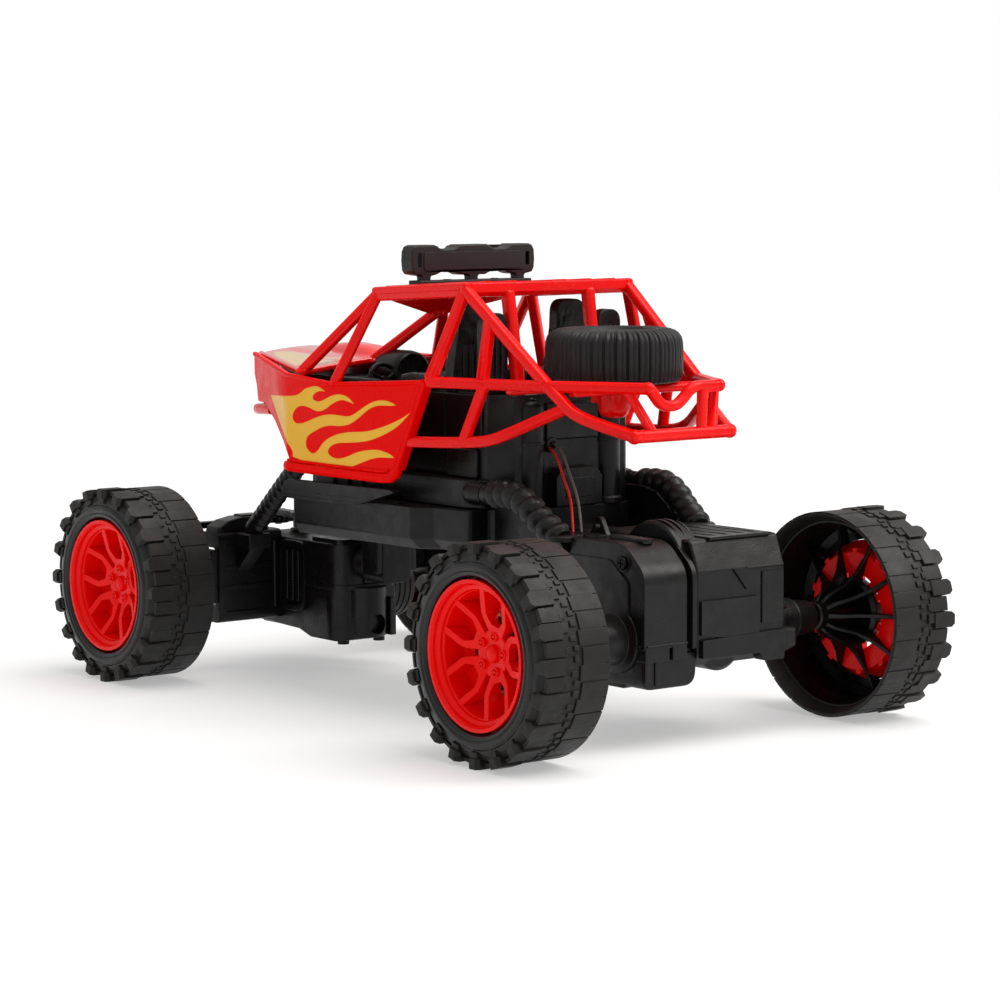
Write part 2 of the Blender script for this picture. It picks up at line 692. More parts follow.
floor_mesh = bpy.data.meshes.new("studio_floor")
fb = bmesh.new()
bmesh.ops.create_circle(fb, cap_ends=True, segments=64, radius=60.0)
fb.to_mesh(floor_mesh)
fb.free()
floor = bpy.data.objects.new("studio_floor", floor_mesh)
COL.objects.link(floor)
floor_mesh.materials.append(floor_material())


# ----------------------------------------------------------------------- wheels
PITCH = 2 * math.pi * WHEEL_R / 20


def on_tread(y, s, r, a0):
    a = s / WHEEL_R + a0
    return (r * math.cos(a), y, r * math.sin(a))


def tread_rect(y0, y1, s0, s1, r0, r1, a0, draft=0.28, ns=2, bev=0.2, mat=0):
    """Raised block between two heights, its sides drawn in towards the top."""
    v, f = [], []
    for r, d in ((r0, 0.0), (r1, draft)):
        for k in range(ns + 1):
            s = (s0 + d) + (s1 - s0 - 2 * d) * k / ns
            for y in (y0 + d, y1 - d):
                v.append(on_tread(y, s, r, a0))
    n = 2 * (ns + 1)
    for k in range(ns):
        a = 2 * k
        f.append((a, a + 1, a + 3, a + 2))
        f.append((n + a, n + a + 2, n + a + 3, n + a + 1))
        f.append((a, a + 2, n + a + 2, n + a))
        f.append((a + 1, n + a + 1, n + a + 3, a + 3))
    f.append((0, n, n + 1, 1))
    f.append((n - 2, n - 1, 2 * n - 1, 2 * n - 2))
    return Shape().raw(v, f, mat).fix().bevel(bev, 2, 24)


def tread_poly(pts, r0, r1, a0, draft=0.25, bev=0.22, outer_r0=None, mat=0):
    """Raised block of any plan (y, s)."""
    cy = sum(p[0] for p in pts) / len(pts)
    cs = sum(p[1] for p in pts) / len(pts)
    lo, hi = [], []
    for y, s in pts:
        dy, ds = y - cy, s - cs
        ln = math.hypot(dy, ds)
        k = max(0.0, 1 - draft * 1.3 / ln)
        lo.append(on_tread(y, s, r0 if (outer_r0 is None or y < cy) else outer_r0, a0))
        hi.append(on_tread(cy + dy * k, cs + ds * k, r1, a0))
    n = len(pts)
    v = lo + hi
    f = [tuple(range(n)), tuple(range(2 * n - 1, n - 1, -1))]
    f += [(i, i + n, (i + 1) % n + n, (i + 1) % n) for i in range(n)]
    return Shape().raw(v, f, mat).fix().bevel(bev, 2, 24)


def tyre_mesh():
    s = Shape()
    profile = [
        (60.4, 28.98), (56.3, 30.6), (55.9, 30.9), (55.9, 31.1), (56.1, 31.4), (56.6, 31.62), (65.7, 31.62), (66.2, 31.4), (72.2, 31.4), (72.6, 31.05), (76.3, 31.05), (77.4, 30.75), (78.3, 30.1),
        (79.0, 29.3), (79.5, 28.3), (79.75, 27.5), (79.8, 27.0), (80.15, 26.8), (80.45, 26.4), (80.62, 25.9), (80.62, 25.1), (80.3, 24.75), (80.2, 24.35), (80.5, 24.0), (80.5, 23.6),
        (80.1, 23.0), (79.2, 22.45), (78.2, 22.45), (77.4, 23.0), (77.0, 24.6), (76.6, 28.98),
    ]
    wall = lathe(profile, (0, 0, 0), "y", 120)
    wall.m = [1 if sum(wall.v[i][1] for i in fc) / len(fc) > 79.4 else 0 for fc in wall.f]
    s.add(wall)
    for k in range(20):
        a = 2 * math.pi * k / 20
        # shoulder lug, standing proud of the sidewall, chamfered at its outer corners
        s.add(tread_poly([(72.2, -2.5), (72.2, 2.4), (79.6, 2.55), (80.9, 1.5), (80.9, -1.5), (79.6, -2.55)],
                         29.4, 32.5, a, draft=0.12, bev=0.17))
        # foot of the lug running down the sidewall
        s.add(tread_poly([(77.0, -2.3), (77.0, 2.3), (80.3, 1.9), (80.3, -1.9)], 27.6, 31.3, a, draft=0.3, bev=0.2))
        # step behind the lug, offset along the tread
        s.add(tread_rect(69.6, 73.4, -2.5, 0.9, 30.9, 32.1, a, 0.25))
        # lower block between two lugs
        s.add(tread_rect(70.9, 78.6, 2.7, 7.5, 30.6, 31.8, a, 0.15, bev=0.15))
        s.add(tread_rect(69.9, 72.2, 4.6, 7.05, 30.9, 31.9, a, 0.25))
        # small stepped blocks down the middle
        s.add(tread_rect(66.7, 69.1, -3.0, -0.7, 30.9, 32.0, a, 0.25))
        s.add(tread_rect(67.5, 70.0, 1.5, 3.4, 30.9, 31.9, a, 0.22))
        s.add(tread_rect(66.7, 69.0, 4.3, 6.3, 30.9, 31.95, a, 0.25))
        # wide smooth panels inside, stepped where they meet the middle blocks
        s.add(tread_rect(56.0, 66.0, -4.98, 0.2, 30.9, 31.95, a, 0.16, ns=3, bev=0.14))
        s.add(tread_rect(56.0, 66.9, 0.1, 4.98, 30.9, 31.95, a, 0.16, ns=3, bev=0.14))
        s.add(tread_rect(57.6, 65.6, -0.9, 1.1, 30.9, 31.90, a, 0.05, ns=2, bev=0.1))
    return s


def core_mesh(boss, front):
    s = Shape()
    s.add(lathe([(60.4, 28.3), (60.2, 28.95), (76.4, 28.95), (76.4, 22.05), (75.6, 22.05), (75.6, 24.4), (74.8, 24.4), (73.6, 27.0), (66.0, 27.0), (64.9, 27.45)],
                (0, 0, 0), "y", 112).bevel(0.18, 2))
    inner = boss + 1.5
    blade = [(inner, 3.0), (inner + 1.6, 4.6), (inner + 3.6, 6.6), (62.6 if not front else inner + 4.6, 9.6), (66.0, 13.6),
             (68.4, 18.6), (69.8, 23.6), (70.6, 27.6), (73.6, 27.6), (73.6, 21.4), (69.3, 20.2), (69.2, 8.2), (70.8, 7.4), (71.2, 3.0)]
    for k in range(10):
        fin = prism(blade, -0.62, 0.62, "x")
        fin.bevel(0.16, 1, 30)
        fin.turn("Y", 36 * k + 18)
        s.add(fin)
    s.add(lathe([(boss, 0.4), (boss, 3.6), (boss + 0.6, 4.3), (69.0, 5.2), (71.4, 5.2), (71.4, 0.4)], (0, 0, 0), "y", 48).bevel(0.18))
    s.add(lathe([(67.6, 4.6), (67.6, 9.4), (68.8, 10.6), (71.0, 10.6), (71.0, 4.6)], (0, 0, 0), "y", 48).bevel(0.2))
    if front:
        s.add(lathe([(50.4, 0.4), (50.4, PIN_BIG), (boss + 1, PIN_BIG), (boss + 1, 0.4)], (0, 0, 0), "y", 40))
        s.add(lathe([(44.2, 3.1), (44.2, 4.3), (51.0, 4.3), (51.0, 0.3), (50.0, 0.3), (50.0, 3.1)], (0, 0, 0), "y", 40).bevel(0.2))
    return s


PIN_BIG = 2.5


def rim_mesh():
    s = Shape()
    # lip, step, dished wall and the red well behind the spokes
    s.add(lathe([
        (80.1, 21.9), (80.1, 20.8), (79.5, 20.45), (79.3, 20.3), (78.6, 20.2), (78.2, 20.0), (77.9, 19.2), (77.75, 18.9), (76.9, 18.7),
        (76.6, 18.35), (69.5, 17.3), (69.5, 18.5), (74.2, 21.0), (75.2, 21.9),
    ], (0, 0, 0), "y", 112).bevel(0.12, 2))
    # floor of the well, open round the hub
    s.add(lathe([(69.4, 17.7), (70.3, 17.7), (70.0, 12.2), (69.3, 12.2)], (0, 0, 0), "y", 80))
    # five split spokes with deep walls
    for k in range(5):
        outline = rounded([
            (3.4, -2.2), (5.4, -2.8), (9.2, -5.2), (10.9, -5.9), (18.9, -6.1), (19.4, -4.0), (11.0, -3.8), (8.5, -1.7),
            (8.5, 1.7), (11.0, 3.8), (19.4, 4.0), (18.9, 6.1), (10.9, 5.9), (9.2, 5.2), (5.4, 2.8), (3.4, 2.2),
        ], [0, 1.0, 0.8, 0.8, 0, 0, 0.7, 0.7, 0.7, 0.7, 0, 0, 0.8, 0.8, 1.0, 0], 3)
        sp = prism([(r, t) for r, t in outline], 69.6, 76.0, "z")

        def lift(x, y, z):
            r = math.hypot(x, y)
            if z > 74:
                return (x, y, z - 2.7 + 0.29 * (r - 6))
            # walls drawn in a little towards the inside of the car
            return (x, y * 1.04, z)
        sp.map(lift)
        sp.bevel(0.32, 2, 35, 0.55)
        # (radial, tangential, along) -> wheel axes
        sp.map(lambda x, y, z: (y, z, x))
        sp.fix()
        sp.turn("Y", 72 * k - 15)
        s.add(sp)
    # hub: dished disc, five nut wells with nuts, domed cap
    s.add(lathe([(69.6, 0.0), (69.6, 6.9), (72.4, 7.1), (73.1, 6.8), (73.3, 6.2), (72.9, 3.4), (72.9, 0.0)], (0, 0, 0), "y", 60).bevel(0.1))
    s.add(lathe([(72.4, 0.0), (72.4, 2.75), (73.6, 2.6), (74.1, 2.2), (74.4, 1.3), (74.5, 0.0)], (0, 0, 0), "y", 40))
    for k in range(5):
        a = rad(72 * k + 33)
        c = (5.35 * math.cos(a), 0, 5.35 * math.sin(a))
        s.add(lathe([(72.4, 0.0), (72.4, 1.5), (73.9, 1.4), (74.05, 1.25), (74.05, 1.0), (73.4, 0.95), (73.4, 0.0)], c, "y", 20))
        s.add(lathe([(72.4, 0.0), (72.4, 0.66), (74.0, 0.62), (74.2, 0.42), (74.2, 0.0)], c, "y", 6))
    return s


TYRE_S = tyre_mesh()
CORE_R, CORE_F = core_mesh(51.3, False), core_mesh(61.5, True)
RIM_S = rim_mesh()


def wheel(end, side, body):
    x = AXLE_X if end == "front" else -AXLE_X
    for base, shape, mats, slot_name in (
        ("tyre", TYRE_S, [TYRE, TYRE_WALL], "tyre_rubber"),
        ("wheel_core", CORE_F if end == "front" else CORE_R, [CORE], "wheel_core_plastic"),
        ("rim", RIM_S, [RIM], "rim_red"),
    ):
        s = shape.copy() if side == "left" else shape.mirrored()
        if base == "rim" and end == "front":
            s.turn("Y", 14)
        s.move(x, 0, AXLE_Z)
        node = f"{base}_{end}_{side}"
        s.build(node + "_look", mats, body, node, slot_name)


wheel("rear", "left", "rear_wheelset")
wheel("rear", "right", "rear_wheelset")
wheel("front", "left", "wheel_front_left")
wheel("front", "right", "wheel_front_right")


# -------------------------------------------------------------------- rear axle
CASE_HW, CASE_TOP, CASE_REAR, CASE_FRONT = 27.6, 61.0, -115.4, -69.0


def lens_plan(cx, cy, length, width, n=10):
    """Pointed oval, long side along x."""
    out = []
    for k in range(n):
        t = -1 + 2 * k / n
        out.append((cx + t * length / 2, cy - width / 2 * (1 - t * t)))
    for k in range(n):
        t = 1 - 2 * k / n
        out.append((cx + t * length / 2, cy + width / 2 * (1 - t * t)))
    return out


def rear_case_left():
    s = Shape()
    upper = rounded([(CASE_FRONT, 30.4), (CASE_FRONT, CASE_TOP), (-106.6, CASE_TOP), (CASE_REAR, 53.0), (CASE_REAR, 30.4)],
                    [0, 1.0, 11.0, 9.0, 0.4], 8)
    s.add(prism(upper, 11.1, CASE_HW, "y").bevel(1.3, 4, 50, 0.5))
    # two tabs that lap over the lower pan, with a notch between them
    for y0, y1 in ((18.0, 27.3), (11.2, 16.8)):
        s.add(box(-115.6, -106.0, y0, y1, 26.7, 31.6).bevel(0.5))
    s.add(box(-112.0, -108.0, 12.0, 26.9, 26.9, 31.6).bevel(0.4))
    s.add(prism([(-69.6, 24.0), (-69.6, 31.0), (-107.0, 31.0), (-107.0, 26.7), (-80.0, 26.7)], 12.0, 27.2, "y").bevel(0.4))
    # rolled seam above the tabs
    s.add(sweep([(-115.5, 11.2, 31.5), (-115.5, 26.4, 31.5), (-113.8, 27.6, 31.5), (-70.0, 27.6, 31.5)], ring_section(0.35, 8)))
    # lower pan, narrower, with rounded bottom corners and two upright ribs
    pan = rounded([(6.6, 28.4), (27.0, 28.4), (27.0, 18.4), (6.6, 18.4)], [0, 0, 3.4, 4.6], 6)
    s.add(prism(pan, -114.4, -80.0, "x").bevel(0.9, 3, 40))
    s.add(box(-114.9, -112.0, 25.0, 26.8, 20.6, 28.0).bevel(0.5))
    s.add(box(-114.9, -112.0, 20.8, 23.0, 19.6, 28.0).bevel(0.5))
    s.add(box(-104.0, -86.0, 8.0, 26.0, 17.9, 20.0).bevel(0.5))
    # raised pads and the pierced lug on top
    s.add(prism(rounded([(-91.6, 16.0), (-107.4, 16.6), (-107.4, 21.2), (-91.6, 21.8)], 2.2), 60.4, 61.9, "z").bevel(0.5))
    s.add(prism(rounded([(-83.0, 19.6), (-90.4, 19.8), (-90.4, 24.6), (-83.0, 24.8)], 2.0), 60.4, 61.8, "z").bevel(0.5))
    lug = prism(rounded([(-85.2, 60.6), (-77.0, 60.6), (-79.8, 66.2), (-82.0, 66.2)], [0, 0, 1.6, 1.6]), 14.8, 16.6, "y")
    s.add(lug.cut(disc((-80.9, 14.0, 64.0), 1.15, 3.6, "y", 20)).bevel(0.2, 1))
    # rib and bolt bosses on the side face
    s.add(prism(rounded([(-76.0, 34.0), (-76.0, 56.0), (-100.0, 56.0), (-108.6, 50.0), (-108.6, 34.0)], [1.5, 1.5, 4, 4, 1.5]), 27.2, 28.1, "y").bevel(0.35))
    for x, z in ((-74.6, 27.6), (-74.6, 51.6), (-106.0, 55.4), (-88.0, 24.6)):
        ring = lathe([(26.9, 2.1), (26.9, 3.1), (27.9, 2.9), (27.9, 2.1)], (x, 0, z), "y", 32)
        s.add(ring.bevel(0.15, 1))
    s.add(lathe([(26.6, 0.2), (26.6, 10.2), (27.9, 9.8), (28.6, 8.4), (29.0, 7.6), (40.0, 6.8), (41.0, 6.9), (41.4, 6.4), (49.2, 5.4), (49.6, 5.0), (49.6, 2.3), (48.2, 2.3), (48.2, 0.2)],
                (-AXLE_X, 0, AXLE_Z), "y", 56).bevel(0.2))
    # seat of the strut boot
    s.add(lathe([(59.4, 0.2), (59.4, 5.4), (60.8, 5.2), (61.3, 4.6), (61.3, 0.2)], (-77.2, 26.9, 0), "z", 40).bevel(0.15))
    s.add(prism([(27.0, 60.4), (31.6, 60.4), (27.0, 54.0)], -80.4, -74.0, "x").bevel(0.3, 2))
    return s


def rear_case_right():
    s = Shape()
    body = [(CASE_FRONT, 24.4), (CASE_FRONT, CASE_TOP), (-111.8, CASE_TOP), (CASE_REAR, 51.9), (CASE_REAR, 27.0), (-112.6, 23.6), (-80.0, 22.8)]
    s.add(prism(rounded(body, [0, 1.2, 1.6, 1.2, 0.8, 1.2, 2], 4), -CASE_HW, 7.2, "y").bevel(0.9, 3, 40))
    # curved cheek beside the groove
    cheek = rounded([(CASE_FRONT, 30.4), (CASE_FRONT, CASE_TOP), (-106.6, CASE_TOP), (-115.7, 53.0), (-115.7, 29.4)], [0, 1, 11, 9, 0.4], 8)
    s.add(prism(cheek, 7.3, 9.2, "y").bevel(0.5, 3))
    s.add(prism(rounded([(CASE_FRONT + 1, 25.0), (CASE_FRONT + 1, 59.6), (-106.0, 59.6), (-113.4, 52.0), (-113.4, 27.0)], [0, 1, 10, 8, 0.4], 8), 8.0, 12.0, "y"))
    # raised panel on the rear face, its field standing off a bevelled edge
    s.add(prism(rounded([(6.4, 33.0), (6.4, 43.2), (-16.6, 43.2), (-16.6, 30.0)], 0.5, 3), -116.5, -114.6, "x").bevel(0.45))
    s.add(box(-115.9, -114.8, -27.0, -18.2, 34.6, 50.4).bevel(0.4))
    # triangular notch: a rimmed recess
    s.add(prism([(-6.4, 52.0), (-12.0, 52.0), (-12.0, 45.2)], -116.1, -114.9, "x").bevel(0.35, 2))
    s.add(sweep([(-115.6, -12.0, 51.8), (-115.6, -26.6, 51.8)], ring_section(0.4, 8)))
    # flange along the bottom, with its end lug
    s.add(prism(rounded([(6.2, 26.2), (6.2, 31.6), (-31.0, 32.4), (-31.0, 27.0), (-26.4, 25.6), (-26.4, 23.4), (-17.4, 23.6), (-17.0, 26.0)],
                        [0.3, 0.6, 0.8, 0.8, 0.4, 0.8, 0.8, 0.4], 3), -116.9, -113.4, "x").bevel(0.55, 3))
    s.add(box(-117.0, -110.0, -31.2, -27.0, 26.8, 32.2).bevel(0.7, 3))
    s.add(box(-114.0, -72.0, -28.9, -27.0, 26.0, 31.6).bevel(0.5))
    # belly of the motor
    belly = lathe([(-113.6, 0.1), (-113.6, 8.0), (-112.4, 9.2), (-84.0, 9.2), (-82.6, 8.0), (-82.6, 0.1)], (0, -3.9, 30.6), "x", 56)
    s.add(belly)
    # dome with curved slots
    dome = lathe([(0.4, 0.2), (0.4, 13.2), (1.2, 14.1), (2.2, 14.4), (7.8, 14.4), (8.8, 14.1), (9.4, 13.2), (9.4, 0.2)], (-97.0, 0, 51.6), "y", 88)
    for y, a0, a1 in ((2.4, 52, 118), (4.9, 46, 124), (7.4, 52, 118)):
        c, n = [], 14
        for k in range(n + 1):
            t = -1 + 2 * k / n
            c.append((rad(a0 + (a1 - a0) * k / n), 0.75 * (1 - t * t) + 0.02))
        v, f = [], []
        for a, w in c:
            for r in (12.9, 15.4):
                for dy in (-w, w):
                    v.append((-97.0 - r * math.cos(a), y + dy, 51.6 + r * math.sin(a)))
        for k in range(n):
            i, j = 4 * k, 4 * k + 4
            f += [(i, i + 1, j + 1, j), (i + 2, j + 2, j + 3, i + 3), (i, j, j + 2, i + 2), (i + 1, i + 3, j + 3, j + 1)]
        f += [(0, 2, 3, 1), (4 * n, 4 * n + 1, 4 * n + 3, 4 * n + 2)]
        dome = dome.cut(Shape().raw(v, f).fix())
    s.add(dome)
    # louvres in the flat top
    top = box(-113.0, -80.0, -24.6, 0.2, 60.6, 61.5)
    for y in (-21.0, -15.4, -9.8, -4.2):
        top = top.cut(prism(lens_plan(-97.0, y, 29.0, 3.6), 60.9, 62.0, "z"))
    s.add(top.bevel(0.14, 1))
    for y in (-21.0, -15.4, -9.8, -4.2):
        s.add(prism(lens_plan(-97.0, y + 0.5, 26.0, 1.9), 60.8, 61.65, "z").bevel(0.2, 1))
    # front wall boss round the pivot pin
    s.add(lathe([(-74.0, 2.7), (-74.0, 6.4), (-64.0, 5.4), (-63.2, 4.9), (-63.2, 2.7)], (0, 0, 51.0), "x", 48).bevel(0.25))
    for k in range(6):
        rib = box(-73.0, -65.4, -0.6, 0.6, 5.0, 9.0).turn("X", 60 * k).move(0, 0, 51.0)
        s.add(rib.bevel(0.2, 1))
    s.add(lathe([(-26.6, 0.2), (-26.6, 9.6), (-27.9, 9.2), (-28.8, 7.2), (-40.0, 6.3), (-41.0, 6.5), (-41.6, 5.9), (-49.2, 5.0), (-49.6, 4.7), (-49.6, 2.3), (-48.2, 2.3), (-48.2, 0.2)],
                (-AXLE_X, 0, AXLE_Z), "y", 56).bevel(0.2))
    for k in range(4):
        rib = prism([(-27.0, 6.8), (-38.0, 6.0), (-30.0, 9.4), (-27.0, 10.2)], -0.6, 0.6, "x").bevel(0.2, 1)
        s.add(rib.turn("Y", 45 + 90 * k).move(-AXLE_X, 0, AXLE_Z))
    s.add(lathe([(59.4, 0.2), (59.4, 5.4), (60.8, 5.2), (61.3, 4.6), (61.3, 0.2)], (-77.2, -26.9, 0), "z", 40).bevel(0.15))
    s.add(prism([(-27.0, 60.4), (-31.6, 60.4), (-27.0, 54.0)], -80.4, -74.0, "x").bevel(0.3, 2))
    return s


rear_case_left().build("rear_gearbox_left_look", [BLACK], "rear_axle", "rear_gearbox_left", "axle_plastic")
rear_case_right().build("rear_gearbox_right_look", [BLACK], "rear_axle", "rear_gearbox_right", "axle_plastic")


# ------------------------------------------------------------------- front axle
def front_case(upper):
    """Upper or lower half of the front gear case."""
    s = Shape()
    z_split = 30.0
    plan = rounded([(62.0, -12.0), (62.0, 12.0), (115.0, 12.0), (115.0, -12.0)], [3.2, 7.5, 1.4, 1.4], 9)
    if upper:
        s.add(prism(plan, z_split, 44.8, "z").bevel(0.8, 3, 40))
        s.add(prism(rounded([(62.6, -11.4), (62.6, 11.4), (80.0, 11.4), (80.0, -11.4)], 2.5), 44.0, 46.2, "z").bevel(0.5))
        s.add(lathe([(43.6, 0.2), (43.6, 4.0), (46.2, 3.6), (46.4, 3.2), (46.4, 0.2)], (AXLE_X, 0, 0), "z", 40).bevel(0.2))
        # tall rounded frame on the left face with three upright ribs in it
        frame_ = prism(rounded([(80.4, 19.8), (80.4, 44.2), (96.2, 44.2), (96.2, 19.8)], 4.6, 6), 11.6, 13.8, "y")
        frame_ = frame_.cut(prism(rounded([(82.6, 22.0), (82.6, 42.2), (94.2, 42.2), (94.2, 22.0)], 3.0, 5), 12.4, 16.0, "y")).bevel(0.4, 2, 40)
        for x in (85.0, 88.4, 91.8):
            frame_.add(box(x - 0.75, x + 0.75, 11.8, 13.5, 23.4, 40.8).bevel(0.5, 3))
        s.add(frame_)
        # broad upright rib on the rear face
        s.add(box(60.7, 63.0, -6.8, 1.8, 30.4, 44.4).bevel(0.9, 3))
        s.add(box(60.9, 63.0, -11.6, -9.0, 30.4, 44.2).bevel(0.6, 3))
        s.add(lathe([(57.8, 2.7), (57.8, 5.0), (58.6, 5.3), (63.0, 6.2), (63.0, 2.7)], (0, 0, 38.0), "x", 48).bevel(0.2))
        for y in (-11.6, 11.6):
            s.add(box(84.0, 88.0, min(y, y * 1.05), max(y, y * 1.05), 31.0, 44.0))
    else:
        side = rounded([(62.0, 11.3), (80.0, 11.3), (87.0, 13.4), (115.0, 14.4), (115.0, z_split), (62.0, z_split)], [2.6, 3, 3, 2.0, 0, 0], 4)
        low = prism(side, -12.0, 12.0, "y").bevel(1.4, 4, 40)
        # the rear left corner is turned over a wide radius
        low = low.cut(prism([(58.0, 14.0), (58.0, 4.5)] + [(62.0 + 7.5 - 7.5 * math.cos(rad(t)), 4.5 + 7.5 * math.sin(rad(t))) for t in range(0, 91, 9)] + [(69.5, 14.0)], 5.0, z_split + 1, "z"))
        low = low.cut(prism([(-13.5, 10.0), (-6.0, 10.0), (-6.0, 11.3), (-12.1, 15.2), (-13.5, 15.2)], 58.0, 118.0, "x"))
        s.add(low)
        s.add(prism(rounded([(61.7, -12.3), (61.7, 12.3), (115.3, 12.3), (115.3, -12.3)], [3.4, 7.8, 1.6, 1.6], 9), 28.9, 30.6, "z").bevel(0.35))
        # boss on the rear face with its blind hole, and a web under it
        boss = lathe([(12.4, 0.2), (12.4, 6.2), (13.6, 7.0), (29.4, 7.0), (29.4, 0.2)], (64.6, -1.2, 0), "z", 56)
        boss = boss.cut(disc((55.0, -1.2, 17.0), 3.4, 6.0, "x", 36)).bevel(0.25, 2, 40)
        s.add(boss)
        s.add(box(58.6, 62.6, -9.4, -7.0, 12.6, 25.6).bevel(0.4))
        # motor cup on the right
        s.add(lathe([(-24.6, 0.2), (-24.6, 10.2), (-23.4, 11.4), (-11.6, 11.4), (-11.6, 0.2)], (78.6, 0, 27.8), "y", 56).bevel(0.3))
        for k in range(5):
            s.add(lathe([(-22.4 + 2.2 * k, 10.8), (-22.4 + 2.2 * k, 11.75), (-21.6 + 2.2 * k, 11.75), (-21.6 + 2.2 * k, 10.8)], (78.6, 0, 27.8), "y", 56).bevel(0.15, 1))
        # ribs underneath
        for y in (-8.0, -2.7, 2.7, 8.0):
            s.add(box(84.0, 113.6, y - 0.6, y + 0.6, 13.2, 16.0).bevel(0.25, 1))
    return s


front_case(True).build("front_gearbox_upper_look", [BLACK], "front_axle", "front_gearbox_upper", "axle_plastic")
front_case(False).build("front_gearbox_lower_look", [BLACK], "front_axle", "front_gearbox_lower", "axle_plastic")


def front_beam():
    s = Shape()
    web = rounded([(96.6, 16.4), (96.6, 47.4), (108.0, 47.4), (108.0, 42.2), (99.0, 42.2), (99.0, 22.4), (108.0, 22.4), (108.0, 16.4)],
                  [2.2, 2.2, 1.4, 0.6, 1.6, 1.6, 0.6, 1.4], 4)
    side = prism(web, 11.8, 37.6, "y").bevel(0.45)
    # sunk field and ribs on the rear face
    side = side.cut(box(95.0, 97.2, 14.5, 35.0, 20.0, 43.6).bevel(0.4, 1))
    s.add(side)
    for z in (28.6, 35.4):
        s.add(box(96.8, 98.0, 15.0, 35.6, z - 0.8, z + 0.8).bevel(0.4, 2))
    # cover over the steering linkage, standing on the beam
    hump = rounded([(15.8, 46.8), (37.0, 46.8), (36.2, 49.2), (32.6, 51.2), (27.4, 52.2), (18.6, 52.4), (16.4, 50.4)], [0, 0, 1.5, 2, 4, 1.8, 1.6], 4)
    s.add(prism(hump, 98.2, 106.6, "x").bevel(0.9, 3, 40))
    s.add(box(99.6, 105.2, 18.6, 26.0, 52.0, 52.8).bevel(0.3, 2))
    for z0, z1 in ((38.2, 41.6), (23.4, 26.8)):
        s.add(prism(rounded([(98.4, 36.8), (106.4, 36.8), (106.4, 47.0), (98.4, 47.0)], 0.4), z0, z1, "z").bevel(0.4))
        boss = lathe([(z0, 1.35), (z0, 3.7), (z0 + 0.3, 4.0), (z1 - 0.3, 4.0), (z1, 3.7), (z1, 1.35)], (AXLE_X, KING_Y, 0), "z", 40)
        s.add(boss)
    s.add(box(97.4, 99.4, 34.0, 40.0, 23.4, 41.6).bevel(0.4))
    s.add(box(87.0, 97.0, 22.6, 31.4, 42.2, 47.4).bevel(0.6, 3))
    s.add(prism([(88.0, 42.6), (97.0, 42.6), (97.0, 34.0)], 24.0, 30.0, "y").bevel(0.4))
    return s.both()


front_beam().build("front_axle_beam_look", [BLACK], "front_axle", "front_axle_beam", "axle_plastic")


# ------------------------------------------------------------------- side panels
FOLD_X = 45.0
NOSE_DIR = Vector((52.0, -21.6)).normalized()
NOSE_N = Vector((-NOSE_DIR.y, NOSE_DIR.x))
if NOSE_N.y < 0:
    NOSE_N = -NOSE_N


def panel_point(t, z, d=0.0):
    """Point of the folded side panel: t mm behind the fold (ahead of it when negative), d mm proud of the outer face."""
    if t > 1e-6:
        return (FOLD_X - t, PANEL_Y + d, z)
    if t < -1e-6:
        p = Vector((FOLD_X, PANEL_Y)) + NOSE_DIR * (-t) + NOSE_N * d
        return (p.x, p.y, z)
    half = math.acos(max(-1, min(1, NOSE_N.y))) / 2
    bis = (Vector((0, 1)) + NOSE_N).normalized() * (d / math.cos(half))
    return (FOLD_X + bis.x, PANEL_Y + bis.y, z)


def clip(pts, sign):
    """Part of an outline on one side of the fold."""
    out = []
    n = len(pts)
    for i in range(n):
        a, b = pts[i], pts[(i + 1) % n]
        ia, ib = a[0] * sign >= 0, b[0] * sign >= 0
        if ia:
            out.append(a)
        if ia != ib:
            k = a[0] / (a[0] - b[0])
            out.append((0.0, a[1] + (b[1] - a[1]) * k))
    return [p for i, p in enumerate(out) if math.dist(p, out[i - 1]) > 1e-3]


def folded_plate(pts, lo, hi, mat=0, bev=0.3):
    """Plate of any outline laid on the folded panel between two depths."""
    s = Shape()
    parts = [c for c in (clip(pts, 1), clip(pts, -1)) if len(c) > 2]
    if any(t < -1e-6 for t, _ in pts) and any(t > 1e-6 for t, _ in pts):
        use = parts
    else:
        use = [pts]
    b = bmesh.new()
    cache = {}

    def vert(t, z, d):
        key = (round(t, 4), round(z, 4), d)
        if key not in cache:
            cache[key] = b.verts.new(panel_point(t, z, d))
        return cache[key]
    for part in use:
        if area2(part) < 0:
            part = part[::-1]
        n = len(part)
        b.faces.new([vert(t, z, hi) for t, z in part])
        b.faces.new([vert(t, z, lo) for t, z in reversed(part)])
        for i in range(n):
            a, c = part[i], part[(i + 1) % n]
            if abs(a[0]) < 1e-6 and abs(c[0]) < 1e-6 and len(use) > 1:
                continue
            b.faces.new([vert(a[0], a[1], hi), vert(a[0], a[1], lo), vert(c[0], c[1], lo), vert(c[0], c[1], hi)])
    bmesh.ops.recalc_face_normals(b, faces=b.faces)
    s.take(b)
    s.m = [mat] * len(s.f)
    return s.bevel(bev, 2, 50) if bev else s


def smooth_outline(pts, tips, n=3):
    """Curve through the points of a closed outline, sharp only at the tips."""
    out = []
    m = len(pts)
    for i in range(m):
        p0, p1, p2, p3 = (Vector(pts[(i + k) % m]) for k in (-1, 0, 1, 2))
        if i in tips:
            p0 = p1
        if (i + 1) % m in tips:
            p3 = p2
        for k in range(n):
            t = k / n
            q = 0.5 * ((2 * p1) + (p2 - p0) * t + (2 * p0 - 5 * p1 + 4 * p2 - p3) * t * t + (3 * p1 - p0 - 3 * p2 + p3) * t ** 3)
            out.append((q.x, q.y))
    return out


